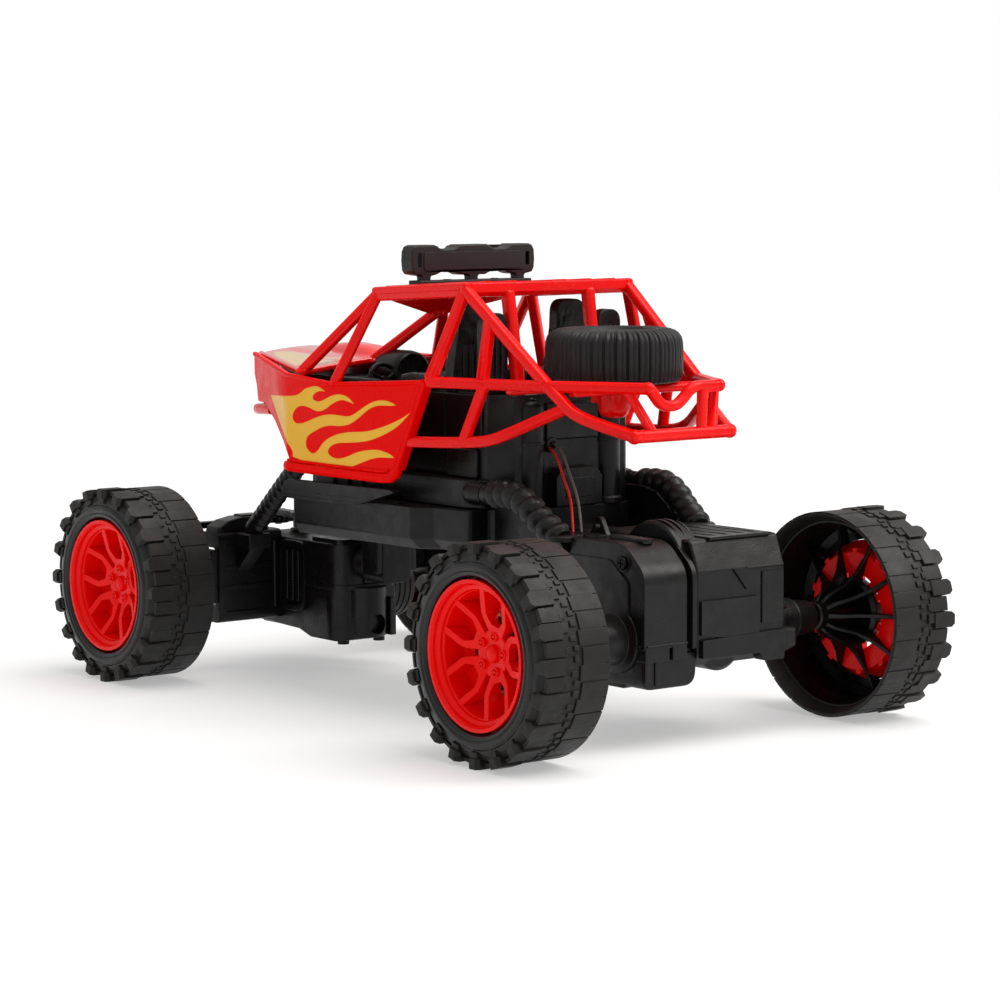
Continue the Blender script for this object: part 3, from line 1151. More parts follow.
PANEL_OUTLINE = [
    (75.7, 105.4), (25.8, 102.4), (0.0, 104.4), (-20.0, 106.0), (-56.3, 108.4), (-56.3, 101.4), (-52.8, 98.0), (-50.0, 92.4),
    (-38.0, 92.6), (-20.8, 87.8), (-8.0, 82.6), (0.0, 78.4), (2.2, 74.4), (59.2, 74.4),
]
FLAME_OUTLINE = [
    (-27.2, 95.9), (1.7, 97.4), (7.5, 98.6), (10.4, 100.1), (13.9, 100.9), (16.7, 101.3), (19.5, 100.8), (21.8, 99.8), (19.5, 99.9),
    (17.3, 99.5), (15.2, 98.4), (14.9, 97.1), (16.6, 96.5), (18.9, 96.5), (21.7, 97.3), (25.1, 98.5), (28.5, 99.2), (31.8, 99.2),
    (35.1, 98.4), (37.8, 96.7), (35.1, 97.2), (31.8, 97.6), (29.0, 97.2), (25.6, 96.0), (22.8, 94.6), (20.0, 93.6), (17.1, 93.3),
    (13.8, 94.0), (10.3, 94.6), (7.5, 94.4), (5.1, 93.5), (3.4, 91.6), (3.3, 90.0), (5.0, 88.8), (7.9, 88.8), (11.4, 89.6), (16.0, 91.0),
    (20.5, 92.1), (25.0, 92.6), (29.5, 92.6), (33.9, 92.5), (37.2, 93.2), (41.1, 94.9), (45.5, 96.9), (49.8, 98.2), (54.1, 98.6),
    (57.8, 98.2), (60.5, 97.4), (57.3, 97.1), (53.0, 97.0), (49.2, 96.5), (45.5, 95.2), (41.6, 93.1), (37.8, 91.1), (33.9, 89.8),
    (29.4, 89.2), (25.0, 89.1), (20.5, 88.4), (15.9, 86.8), (11.9, 85.0), (10.7, 82.9), (11.2, 81.0), (13.5, 79.7), (15.8, 79.7),
    (18.1, 81.1), (20.4, 83.2), (23.8, 85.0), (28.3, 86.4), (33.8, 87.4), (39.4, 87.9), (44.8, 88.4), (50.2, 89.5), (55.6, 90.9),
    (60.9, 92.6), (64.7, 94.0), (68.9, 96.1), (65.2, 93.5), (61.5, 91.1), (57.2, 89.1), (52.4, 87.4), (46.9, 85.8), (41.0, 84.8),
    (34.4, 84.2), (28.8, 83.7), (24.9, 82.5), (23.1, 80.8), (24.2, 79.5), (27.0, 78.8), (30.4, 78.9), (34.8, 80.0), (39.2, 81.4),
    (44.7, 82.4), (50.1, 82.9), (54.4, 82.5), (57.6, 81.8), (59.2, 81.0), (56.0, 80.8), (51.7, 80.6), (46.9, 79.8), (41.4, 78.2),
    (35.9, 76.6), (30.3, 75.6), (24.7, 75.5), (19.1, 75.6), (13.4, 76.1), (8.3, 76.9), (3.1, 77.7), (1.4, 81.1), (-12.3, 87.9),
]
FLAME_TIPS = {FLAME_OUTLINE.index(p) for p in (
    (-27.2, 95.9), (21.8, 99.8), (37.8, 96.7), (60.5, 97.4), (68.9, 96.1), (59.2, 81.0), (3.1, 77.7), (-12.3, 87.9))}


def side_panel():
    s = folded_plate(rounded(PANEL_OUTLINE, [1.2, 4, 6, 10, 1.2, 2.5, 3, 1.6, 6, 10, 8, 2, 1.4, 1.4], 4), -PANEL_T, 0.0, 0, 0.35)
    flame = smooth_outline(FLAME_OUTLINE, FLAME_TIPS)
    s.add(folded_plate(flame, -0.3, 0.07, 1, 0))
    # rolled lip along the bottom
    lip = [(47.4, 42.3, 75.0), (46.2, 43.0, 74.5), (43.0, 43.5, 74.3), (20.0, 43.55, 74.2), (-8.0, 43.55, 74.2), (-12.6, 43.5, 74.6), (-15.4, 43.4, 76.2), (-16.9, 43.3, 78.8)]
    s.add(sweep(lip, rect_section(2.9, 3.1, 1.2, 5), 0, scales=[0.7, 0.92, 1, 1, 1, 1, 0.95, 0.8]))
    s.add(sweep([(44.6, 43.75, 76.5), (20.0, 43.8, 76.3), (-8.0, 43.8, 76.3), (-11.4, 43.75, 77.0)], ring_section(0.5, 12), 0))
    # flange down the rear edge, with a groove between two beads
    a, b = Vector((-31.0, 43.1, 105.4)), Vector((-16.4, 43.1, 78.0))
    s.add(sweep([a, b], rect_section(3.0, 3.4, 0.7, 3), 0, up=(0, 1, 0)))
    for k in (-0.95, 0.95):
        d = Vector((0.885, 0, 0.465)) * k
        s.add(sweep([a + d + Vector((0, 1.35, 0)), b + d + Vector((0, 1.35, 0))], ring_section(0.5, 10), 0, up=(0, 1, 0)))
    # beaded top edge and inner stiffening ribs
    top = [(-29.6, 43.3, 105.2), (19.2, 43.3, 102.3), (45.0, 43.3, 104.2), (96.0, 22.2, 108.2)]
    s.add(sweep(top, rect_section(1.9, 1.5, 0.6, 3), 0))
    for x in (-6.0, 6.0, 30.0):
        s.add(box(x - 0.6, x + 0.6, PANEL_Y - 3.0, PANEL_Y - 1.0, 77.0, 101.0).bevel(0.25, 1))
    return s


SIDE = side_panel()
SIDE.copy().build("side_panel_left_look", [BODY, FLAME], "chassis", "side_panel_left", "body_red")
SIDE.mirrored().build("side_panel_right_look", [BODY, FLAME], "chassis", "side_panel_right", "body_red")


# ------------------------------------------------------------------------ bonnet
def hood_half(x):
    k = (x - 38.6) / 58.0
    return 41.6 + (19.8 - 41.6) * k


def hood_z(x, y):
    k = (x - 38.6) / 58.0
    edge = 105.3 + (108.5 - 105.3) * k
    crown = 109.0 + (110.4 - 109.0) * k
    w = max(0.0, 1 - (abs(y) / hood_half(x)) ** 1.7)
    z = edge + (crown - edge) * w
    # two soft pressings along the bonnet
    for c in (0.50,):
        q = (abs(y) / hood_half(x) - c) / 0.10
        z -= 0.5 * math.exp(-q * q) * min(1.0, max(0.0, (x - 42) / 8)) * min(1.0, max(0.0, (94 - x) / 8))
    return z


def bonnet():
    s = Shape()
    nx, ny = 26, 40
    v, f = [], []
    for layer in (0.0, -1.5):
        for i in range(nx + 1):
            x = 38.6 + 58.0 * i / nx
            for j in range(ny + 1):
                y = hood_half(x) * (-1 + 2 * j / ny)
                v.append((x, y, hood_z(x, y) + layer))
    w = ny + 1
    n = (nx + 1) * w
    for i in range(nx):
        for j in range(ny):
            a = i * w + j
            f.append((a, a + w, a + w + 1, a + 1))
            f.append((n + a, n + a + 1, n + a + w + 1, n + a + w))
    for i in range(nx):
        for j in (0, ny):
            a = i * w + j
            f.append((a, a + w, n + a + w, n + a) if j else (a, n + a, n + a + w, a + w))
    for j in range(ny):
        f.append((j, j + 1, n + j + 1, n + j))
        a = nx * w + j
        f.append((a, n + a, n + a + 1, a + 1))
    s.raw(v, f).fix().bevel(0.4, 2, 40)
    # rolled edges
    for side in (1, -1):
        path = [(38.8 + 57.6 * k / 6, side * (hood_half(38.8 + 57.6 * k / 6) - 0.4), hood_z(38.8 + 57.6 * k / 6, side * hood_half(38.8 + 57.6 * k / 6)) - 0.4) for k in range(7)]
        s.add(sweep(path, rect_section(1.8, 2.2, 0.7, 3)))
    s.add(sweep([(38.8, y, hood_z(38.8, y) - 0.3) for y in [hood_half(38.8) * (-1 + 2 * k / 16) for k in range(17)]], rect_section(1.8, 2.0, 0.7, 3)))
    # nose apron with two lamp recesses and a slatted mouth
    ap = prism(rounded([(-19.8, 94.8), (19.8, 94.8), (19.8, 108.8), (-19.8, 108.8)], 2.0), 95.2, 96.9, "x")
    for y in (-13.4, 13.4):
        ap = ap.cut(disc((94, y, 102.6), 3.7, 5.0, "x", 36))
    ap = ap.cut(prism(rounded([(-7.6, 98.0), (7.6, 98.0), (8.4, 105.4), (-8.4, 105.4)], 1.2), 94, 99, "x"))
    s.add(ap.bevel(0.3, 2, 40))
    for y in (-13.4, 13.4):
        s.add(lathe([(94.4, 3.5), (94.4, 4.6), (97.0, 4.5), (97.3, 4.1), (97.0, 3.5)], (0, y, 102.6), "x", 40))
    for z in (99.6, 101.6, 103.6):
        s.add(box(94.8, 96.4, -8.4, 8.4, z - 0.45, z + 0.45).bevel(0.2, 1))
    # scoop with an open mouth facing forward
    prof = [(48.0, 108.3, 4.0), (52.0, 110.0, 6.4), (57.0, 112.0, 7.0), (66.0, 112.7, 7.0), (74.0, 112.3, 6.8), (78.0, 111.4, 6.6)]
    v, f = [], []
    m = 12
    for x, z, h in prof:
        for j in range(m + 1):
            t = -1 + 2 * j / m
            v.append((x, t * h, 108.0 + (z - 108.0) * (1 - abs(t) ** 3.2)))
        for j in range(m + 1):
            t = 1 - 2 * j / m
            v.append((x, t * h, 107.6))
    k = 2 * (m + 1)
    for i in range(len(prof) - 1):
        for j in range(k):
            f.append((i * k + j, i * k + (j + 1) % k, (i + 1) * k + (j + 1) % k, (i + 1) * k + j))
    f.append(tuple(range(k)))
    f.append(tuple(range((len(prof) - 1) * k + k - 1, (len(prof) - 1) * k - 1, -1)))
    scoop = Shape().raw(v, f).fix()
    scoop = scoop.cut(box(74.0, 80.0, -5.4, 5.4, 108.9, 111.2).bevel(0.6, 2))
    s.add(scoop.bevel(0.25, 2, 42))
    # flame tongues on the bonnet
    for side in (1, -1):
        fl = smooth_outline([(92.0, 17.0), (86.0, 14.0), (78.0, 13.2), (70.0, 15.2), (62.0, 16.4), (55.0, 14.6), (49.0, 12.6), (54.0, 17.0), (61.0, 19.6), (67.0, 19.6), (60.0, 22.4), (52.0, 22.6),
                             (45.0, 20.6), (50.0, 25.4), (58.0, 27.0), (66.0, 25.2), (61.0, 29.4), (54.0, 31.6), (47.0, 31.2), (54.0, 34.0), (63.0, 31.0), (74.0, 26.4), (84.0, 22.2)],
                            {0, 6, 12, 18}, 3)
        v, f = [], []
        pts = [(x, side * min(y, hood_half(x) - 1.8)) for x, y in fl]
        if area2(pts) < 0:
            pts = pts[::-1]
        tri = tessellate(pts)
        v = [(x, y, hood_z(x, y) + 0.06) for x, y in tri[0]] + [(x, y, hood_z(x, y) - 0.3) for x, y in tri[0]]
        n2 = len(tri[0])
        f = [t for t in tri[1]] + [tuple(i + n2 for i in reversed(t)) for t in tri[1]]
        f += [(i, i + n2, (i + 1) % len(pts) + n2, (i + 1) % len(pts)) for i in range(len(pts))]
        s.add(Shape().raw(v, f, 1).fix())
    return s


def tessellate(pts, step=3.0):
    """Fills an outline with triangles fine enough to follow a curved surface. The outline's own points come first."""
    b = bmesh.new()
    vs = [b.verts.new((x, y, 0)) for x, y in pts]
    face = b.faces.new(vs)
    bmesh.ops.triangulate(b, faces=[face])
    for _ in range(2):
        long_edges = [e for e in b.edges if e.calc_length() > step and len(e.link_faces) == 2]
        if not long_edges:
            break
        bmesh.ops.subdivide_edges(b, edges=long_edges, cuts=1)
        bmesh.ops.triangulate(b, faces=[fc for fc in b.faces if len(fc.verts) > 3])
    b.verts.index_update()
    verts = [(v.co.x, v.co.y) for v in b.verts]
    faces = [tuple(v.index for v in fc.verts) for fc in b.faces]
    b.free()
    return verts, faces


bonnet().build("hood_shell_look", [HOOD, FLAME_TOP], "chassis", "hood_shell", "body_red")


def bumper():
    s = Shape()
    for side in (1, -1):
        s.add(sweep([(81.0, side * 25.4, 90.0), (92.0, side * 22.4, 89.6), (97.2, side * 20.2, 89.3), (99.0, side * 16.6, 89.2), (99.0, side * 2.0, 89.2)],
                    ring_section(1.8, 16, 1, 0.3), scales=[0.9, 1, 1, 1, 1]))
        s.add(tube((99.0, side * 16.0, 89.4), (96.2, side * 16.0, 96.6), 1.2))
        s.add(tube((99.0, side * 6.0, 89.4), (96.6, side * 6.0, 95.6), 1.2))
        s.add(lathe([(-0.4, 0.1), (-0.4, 3.0), (0.6, 3.0), (0.6, 0.1)], (96.9, side * 16.0, 96.4), "x", 28).bevel(0.2))
    s.add(tube((99.0, -4.0, 89.2), (99.0, 4.0, 89.2), 1.8, dome=False))
    s.add(sweep([(98.6, -12.0, 90.4), (98.2, -12.0, 94.0)], rect_section(3.0, 0.9, 0.3)))
    return s


bumper().build("front_bumper_look", [CAGE], "chassis", "front_bumper", "cage_red")


# ----------------------------------------------------------------- chassis tower
def tower():
    up = prism(rounded([(8, 28), (-41, 28), (-48, 22), (-48, -22), (-41, -28), (8, -28)], [0.5, 2.6, 2.6, 2.6, 2.6, 0.5], 4), 66.2, 101.0, "z")
    low = prism(rounded([(8, 33), (-36, 33), (-42, 30), (-42, -30), (-36, -33), (8, -33)], [0.5, 2.2, 2.2, 2.2, 2.2, 0.5], 4), 66.2, 75.0, "z")
    hollow = prism([(6, 26.2), (-40.2, 26.2), (-46.2, 21.2), (-46.2, -21.2), (-40.2, -26.2), (6, -26.2)], 60.0, 99.2, "z")
    up = up.bevel(0.8, 3, 50).cut(hollow)
    # lower half stands a little proud, leaving a ledge round the tower
    skirt = prism(rounded([(8, 28.6), (-41.3, 28.6), (-48.6, 22.3), (-48.6, -22.3), (-41.3, -28.6), (8, -28.6)], [0.5, 2.6, 2.6, 2.6, 2.6, 0.5], 4), 66.2, 84.8, "z")
    up.add(skirt.bevel(0.45, 3, 50).cut(hollow))
    low = low.bevel(0.7, 3, 50).cut(hollow)
    s = up.add(low)
    for side in (1, -1):
        # rear columns with a domed head and a foot ring
        s.add(lathe([(0, 0), (0, 5.2), (1.4, 5.2), (2.0, 4.6), (31.0, 4.6), (32.2, 4.1), (32.9, 3.0), (33.2, 1.4), (33.2, 0)], (-46.2, side * 15.2, 66.2), "z", 40))
        s.add(lathe([(0, 0), (0, 4.85), (0.5, 4.95), (1.0, 4.85), (1.0, 0)], (-46.2, side * 15.2, 85.6), "z", 40))
        s.add(disc((-47.0, side * 15.2, 99.2), 1.7, 1.0, "z", 24, 0, 0.3))
        # raised pad on each flank with a sloped border
        pad = prism(rounded([(-37.6, 75.0), (-22.4, 75.0), (-22.4, 84.2), (-37.6, 84.2)], 1.2, 4), 0, 1.5, "y").bevel(0.7, 3, 50)
        pad = pad.move(0, 27.9, 0)
        s.add(pad if side > 0 else pad.mirrored())
        ribs = Shape()
        ribs.add(box(-39.2, -38.4, 27.4, 28.5, 84.6, 99.0).bevel(0.35, 2))
        ribs.add(box(-20.4, -19.6, 27.4, 28.5, 84.6, 99.0).bevel(0.35, 2))
        # nozzle that carries the rear boot
        ribs.add(lathe([(-45.0, 0), (-45.0, 2.9), (-43.8, 3.0), (-43.8, 3.5), (-43.2, 3.6), (-42.6, 3.5), (-42.2, 3.6), (-38.0, 4.0), (-36.0, 3.6), (-36.0, 0)], (0, 30.0, 71.0), "x", 36))
        s.add(ribs if side > 0 else ribs.mirrored())
    # block between the columns
    blk = prism(rounded([(-9.2, 66.2), (9.2, 66.2), (9.2, 75.2), (6.8, 78.2), (-6.8, 78.2), (-9.2, 75.2)], 1.0, 3), -52.2, -44.0, "x").bevel(0.6, 2, 40)
    s.add(blk)
    s.add(box(-52.6, -51.6, -5.6, 5.6, 68.8, 75.2).bevel(0.4, 3))
    # horizontal joint line and upper panel between the columns
    s.add(box(-48.9, -47.4, -10.4, 10.4, 86.8, 98.4).bevel(0.6, 3))
    s.add(lathe([(0, 1.3), (0, 2.2), (0.6, 2.5), (1.0, 2.1), (1.0, 1.3)], (-49.4, 8.5, 85.4), "x", 30))
    # rails under the seats and screw bosses on the deck
    for y in (-19.6, 19.6):
        s.add(box(-36.0, 2.0, y - 7.0, y + 7.0, 100.6, 101.6).bevel(0.35, 2))
    for x in (-42.0, 3.0):
        for y in (-6.0, 6.0):
            s.add(lathe([(0, 1.3), (0, 2.6), (0.9, 2.6), (1.3, 2.2), (1.3, 1.3)], (x, y, 100.8), "z", 28))
    # webs under the boot sockets
    for side in (1, -1):
        web = prism(rounded([(-40.0, 51.0), (-40.0, 71.0), (-54.0, 71.0), (-60.6, 69.4), (-65.4, 66.0), (-68.0, 63.4), (-68.0, 56.0), (-62.0, 51.0)], 1.2, 3), side * 25.4 - 1.4, side * 25.4 + 1.4, "y")
        s.add(web.bevel(0.5, 2, 40))
    return s


tower().build("chassis_tower_look", [CHASSIS], "chassis", "chassis_tower", "chassis_plastic")


# ------------------------------------------------------------------ chassis tray
def tray():
    plan = [(48.8, 30.0), (44.6, 42.2), (-20.6, 42.2), (-26.4, 37.6), (-42.0, 35.4), (-42.0, 28.0), (-50.0, 22.0)]
    plan += [(x, -y) for x, y in reversed(plan)]
    inner = [(46.6, 29.0), (42.8, 40.0), (-19.8, 40.0), (-25.4, 35.6), (-40.0, 33.4), (-40.0, 27.0), (-47.8, 21.0)]
    inner += [(x, -y) for x, y in reversed(inner)]
    pl = rounded(plan, [2, 2, 2, 2, 2, 1.5, 2] * 2, 4)
    s = prism(pl, TRAY_BOTTOM, 66.0, "z")
    # lower edge drawn in as a chamfer that widens towards the rear
    def tuck(x, y, z):
        if z > TRAY_BOTTOM + 0.1:
            return x, y, z
        k = 1.6 + 3.4 * max(0.0, min(1.0, (46.0 - x) / 90.0))
        n = math.hypot(x * 0.4, y)
        return x * (1 - k * 0.4 / 46), y * (1 - k / max(n, 20.0)), z
    wall = prism(pl, 56.2, 66.0, "z")
    foot = prism(pl, TRAY_BOTTOM, 56.2, "z").map(tuck)
    s = wall.union(foot).bevel(0.5, 2, 24)
    s = s.cut(prism(inner, TRAY_BOTTOM + 2.4, 64.0, "z").map(lambda x, y, z: (x * 0.95, y * 0.92, z) if z < 56 else (x, y, z)))
    s = s.cut(box(-41, 5, -24, 24, 63, 67))
    s = s.cut(box(-27, 27, -15, 15, TRAY_BOTTOM - 1, TRAY_BOTTOM + 3))
    s = s.cut(box(-32, 32, -17, 17, TRAY_BOTTOM - 1, TRAY_BOTTOM + 1.2))
    s = s.cut(box(33, 41, -2.6, 2.6, TRAY_BOTTOM - 1, TRAY_BOTTOM + 3))
    for x in (-29.5, 29.5):
        s.add(lathe([(TRAY_BOTTOM + 1.4, 1.02), (TRAY_BOTTOM + 1.4, 2.4), (60.4, 2.2), (60.4, 1.02)], (x, 0, 0), "z", 28))
    # switch housing
    s.add(box(30.6, 43.6, -5, 5, TRAY_BOTTOM + 2.0, 60.4).cut(box(32.4, 41.8, -3.6, 3.6, TRAY_BOTTOM + 1, 58.4)).cut(box(33, 41, -2.6, 2.6, 50, 56)).bevel(0.3, 1, 40))
    # frame round the switch window and battery lid
    s.add(prism(rounded([(31.8, 3.8), (42.2, 3.8), (42.2, -3.8), (31.8, -3.8)], 1.0, 3), TRAY_BOTTOM - 0.5, TRAY_BOTTOM + 1.0, "z").cut(box(33, 41, -2.6, 2.6, 50, 56)).bevel(0.2, 1, 40))
    for x in (-37.0, 1.0):
        for y in (-20.0, 20.0):
            s.add(lathe([(TRAY_BOTTOM + 1.6, 0.8), (TRAY_BOTTOM + 1.6, 2.2), (72.0, 1.8), (72.0, 0.8)], (x, y, 0), "z", 24))
    for x in (-44.0, 30.0):
        s.add(box(x - 0.6, x + 0.6, -20, 20, TRAY_BOTTOM + 1.4, TRAY_BOTTOM + 5.0).bevel(0.2, 1))
    # sill beads with a rounded front end, plus a fine line under them
    for side in (1, -1):
        visor = rounded([(46.6, 66.0), (46.2, 69.0), (44.0, 70.2), (30.0, 70.4), (-13.0, 70.9), (-15.4, 70.2), (5.0, 64.9), (24.0, 64.2), (43.0, 64.2), (45.8, 64.8)],
                        [1.2, 1.4, 1.4, 6, 1.2, 0.8, 4, 10, 1.2, 0.8], 5)
        s.add(prism(visor, side * 43.2 - 1.5, side * 43.2 + 1.5, "y").bevel(1.1, 4, 40, 0.5))
        low = rounded([(43.4, 65.4), (24.0, 65.2), (5.4, 65.6), (-8.0, 68.6), (4.0, 67.2), (24.0, 66.8), (43.0, 66.8)], 0.6, 2)
        s.add(prism(low, side * 44.4 - 0.5, side * 44.4 + 0.5, "y").bevel(0.3, 2, 40))
    # pivot lugs with ribs
    lug = prism(rounded([(-7, 45), (7, 45), (7, 60), (-7, 60)], [3, 3, 0.8, 0.8], 5), -62, -49, "x").bevel(0.5, 2, 40)
    lug = lug.cut(disc((-64, 0, 51), 2.02, 13.6, "x", 32))
    s.add(lug)
    s.add(lathe([(-62.8, 2.05), (-62.8, 4.4), (-61.6, 4.8), (-61.6, 2.05)], (0, 0, 51), "x", 36))
    lug = prism(rounded([(-6, 32.4), (6, 32.4), (6, 60), (-6, 60)], [3, 3, 0.8, 0.8], 5), 45, 56.8, "x").bevel(0.5, 2, 40)
    lug = lug.cut(disc((46.4, 0, 38), 2.02, 12, "x", 32))
    s.add(lug)
    for side in (1, -1):
        s.add(prism(rounded([(45.2, 36.0), (47.0, 36.0), (54.0, 52.0), (54.0, 58.0), (45.2, 58.0)], 0.6, 3), side * 7.0 - 1.1, side * 7.0 + 1.1, "y").bevel(0.3, 2, 40))
        s.add(prism(rounded([(-49.2, 50.0), (-52.0, 50.0), (-60.0, 57.0), (-60.0, 59.4), (-49.2, 59.4)], 0.6, 3), side * 8.0 - 1.1, side * 8.0 + 1.1, "y").bevel(0.3, 2, 40))
    return s


tray().build("chassis_tray_look", [CHASSIS], "chassis", "chassis_tray", "chassis_plastic")


# --------------------------------------------------------------------- interior
def interior():
    tub = box(8.0, 43.6, -34.0, 34.0, 66.2, 104.0).bevel(0.8, 3)
    tub = tub.cut(box(9.6, 38.0, -32.4, 32.4, 76.0, 106.0)).cut(box(9.6, 42.0, -32.4, 32.4, 60.0, 74.4)).cut(box(7.0, 10.2, -32.4, 32.4, 101.0, 106.0))
    s = tub
    for side in (1, -1):
        y0, y1 = sorted((side * 33.0, side * 41.9))
        for x0, x1, z0, z1 in ((12, 16, 92, 96), (36, 40, 92, 96), (12, 40, 78, 80)):
            s.add(box(x0, x1, y0, y1, z0, z1).bevel(0.5, 2))
        for x in (16.0, 24.0, 32.0):
            s.add(box(x - 0.5, x + 0.5, *sorted((side * 33.6, side * 34.8)), 68.0, 100.0).bevel(0.3, 1))
        # vents, dials and knobs across the dash
        y = side * 25.0
        s.add(lathe([(36.4, 0), (36.4, 3.4), (37.2, 3.6), (38.4, 3.3), (38.4, 0)], (0, y, 98.4), "x", 32))
        s.add(lathe([(35.8, 2.2), (35.8, 3.0), (36.6, 3.0), (36.6, 2.2)], (0, y, 98.4), "x", 32))
    # hooded round instrument on the dash
    s.add(lathe([(24.2, 0), (24.2, 5.8), (23.6, 6.6), (24.4, 7.4), (26.4, 7.7), (34.0, 7.7), (38.2, 7.0), (38.2, 0)], (0, 8.2, 104.0), "x", 56))
    s.add(lathe([(23.9, 0), (23.9, 2.0), (24.4, 2.2), (24.4, 0)], (0, 8.2, 104.0), "x", 32))
    for k in range(10):
        a = rad(36 * k)
        s.add(box(23.9, 24.5, -0.25, 0.25, 3.6, 5.2).turn("X", 36 * k).move(0, 8.2, 104.0))
    s.add(prism(rounded([(20.0, 90.0), (38.2, 90.0), (38.2, 100.4), (24.0, 100.4), (20.4, 97.4)], [0.8, 0.2, 0.2, 1.6, 2.0], 4), -8.0, 14.0, "y").bevel(0.6, 2, 30))
    for y in (-5.0, -1.0, 3.0, 7.0, 11.0):
        s.add(box(19.6, 20.8, y - 1.1, y + 1.1, 92.0, 94.6).bevel(0.3, 2))
    s.add(prism(rounded([(31.0, 97.6), (38.2, 97.6), (38.2, 103.8), (34.0, 103.4)], 0.6, 3), -31.0, 31.0, "y").bevel(0.5, 2, 30))
    # steering column and wheel
    s.add(tube((38.4, 19.0, 97.0), (25.4, 19.0, 101.9), 1.2, 14, dome=False))
    s.add(tube((30.0, 19.0, 100.0), (27.0, 19.0, 101.2), 2.0, 16, dome=False))
    w = lathe([(math.cos(t) * 0.8, 5.65 + math.sin(t) * 0.8) for t in [2 * math.pi * k / 12 for k in range(12)]], (0, 0, 0), "x", 48)
    for k in range(3):
        w.add(sweep([(0, 0, 0), (-0.2, 5.4 * math.sin(rad(120 * k + 180)), 5.4 * math.cos(rad(120 * k + 180)))], rect_section(1.5, 0.8, 0.3)))
    w.add(lathe([(-0.9, 0), (-0.9, 1.5), (0.8, 1.9), (0.8, 0)], (0, 0, 0), "x", 28))
    s.add(w.turn("Y", 20).move(24.6, 19.0, 102.2))
    # front frame under the bonnet
    frame_plan = [(43.6, 32.0), (60.0, 30.0), (93.0, 18.0), (93.0, -18.0), (60.0, -30.0), (43.6, -32.0)]
    inner_plan = [(46.0, 29.6), (59.6, 27.8), (91.0, 16.4), (91.0, -16.4), (59.6, -27.8), (46.0, -29.6)]
    s.add(prism(rounded(frame_plan, 1.4, 3), 87.0, 103.6, "z").bevel(0.5, 2, 40).cut(prism(inner_plan, 84.0, 101.8, "z")))
    for x in (58.0, 70.0, 82.0):
        h = 29.0 if x < 60 else 30.0 - (x - 60) * 12 / 33 - 1.6
        s.add(box(x - 0.6, x + 0.6, -h, h, 97.0, 102.4).bevel(0.25, 1))
    s.add(box(46.0, 91.0, -0.6, 0.6, 96.0, 102.4).bevel(0.25, 1))
    for side in (1, -1):
        y0, y1 = sorted((side * 22.0, side * 30.0))
        s.add(box(43.6, 51.0, y0, y1, 66.2, 88.0).bevel(0.8, 3))
        for z in (70.0, 74.0, 78.0, 82.0):
            s.add(box(44.4, 51.5, *sorted((side * 23.0, side * 29.0)), z - 0.5, z + 0.5).bevel(0.3, 1))
        s.add(lathe([(78.7, 0), (78.7, 4.2), (79.4, 4.4), (82.0, 4.4), (82.6, 4.9), (83.8, 4.9), (84.2, 4.3), (89.0, 4.2), (89.0, 0)], (57.2, side * 26.6, 0), "z", 36))
        s.add(prism(rounded([(50.0, 82.0), (57.0, 82.0), (61.0, 88.6), (50.0, 88.6)], 0.6, 3), side * 26.6 - 1.0, side * 26.6 + 1.0, "y").bevel(0.3, 2, 40))
    return s


interior().build("inner_body_look", [INTERIOR], "chassis", "inner_body", "interior_plastic")


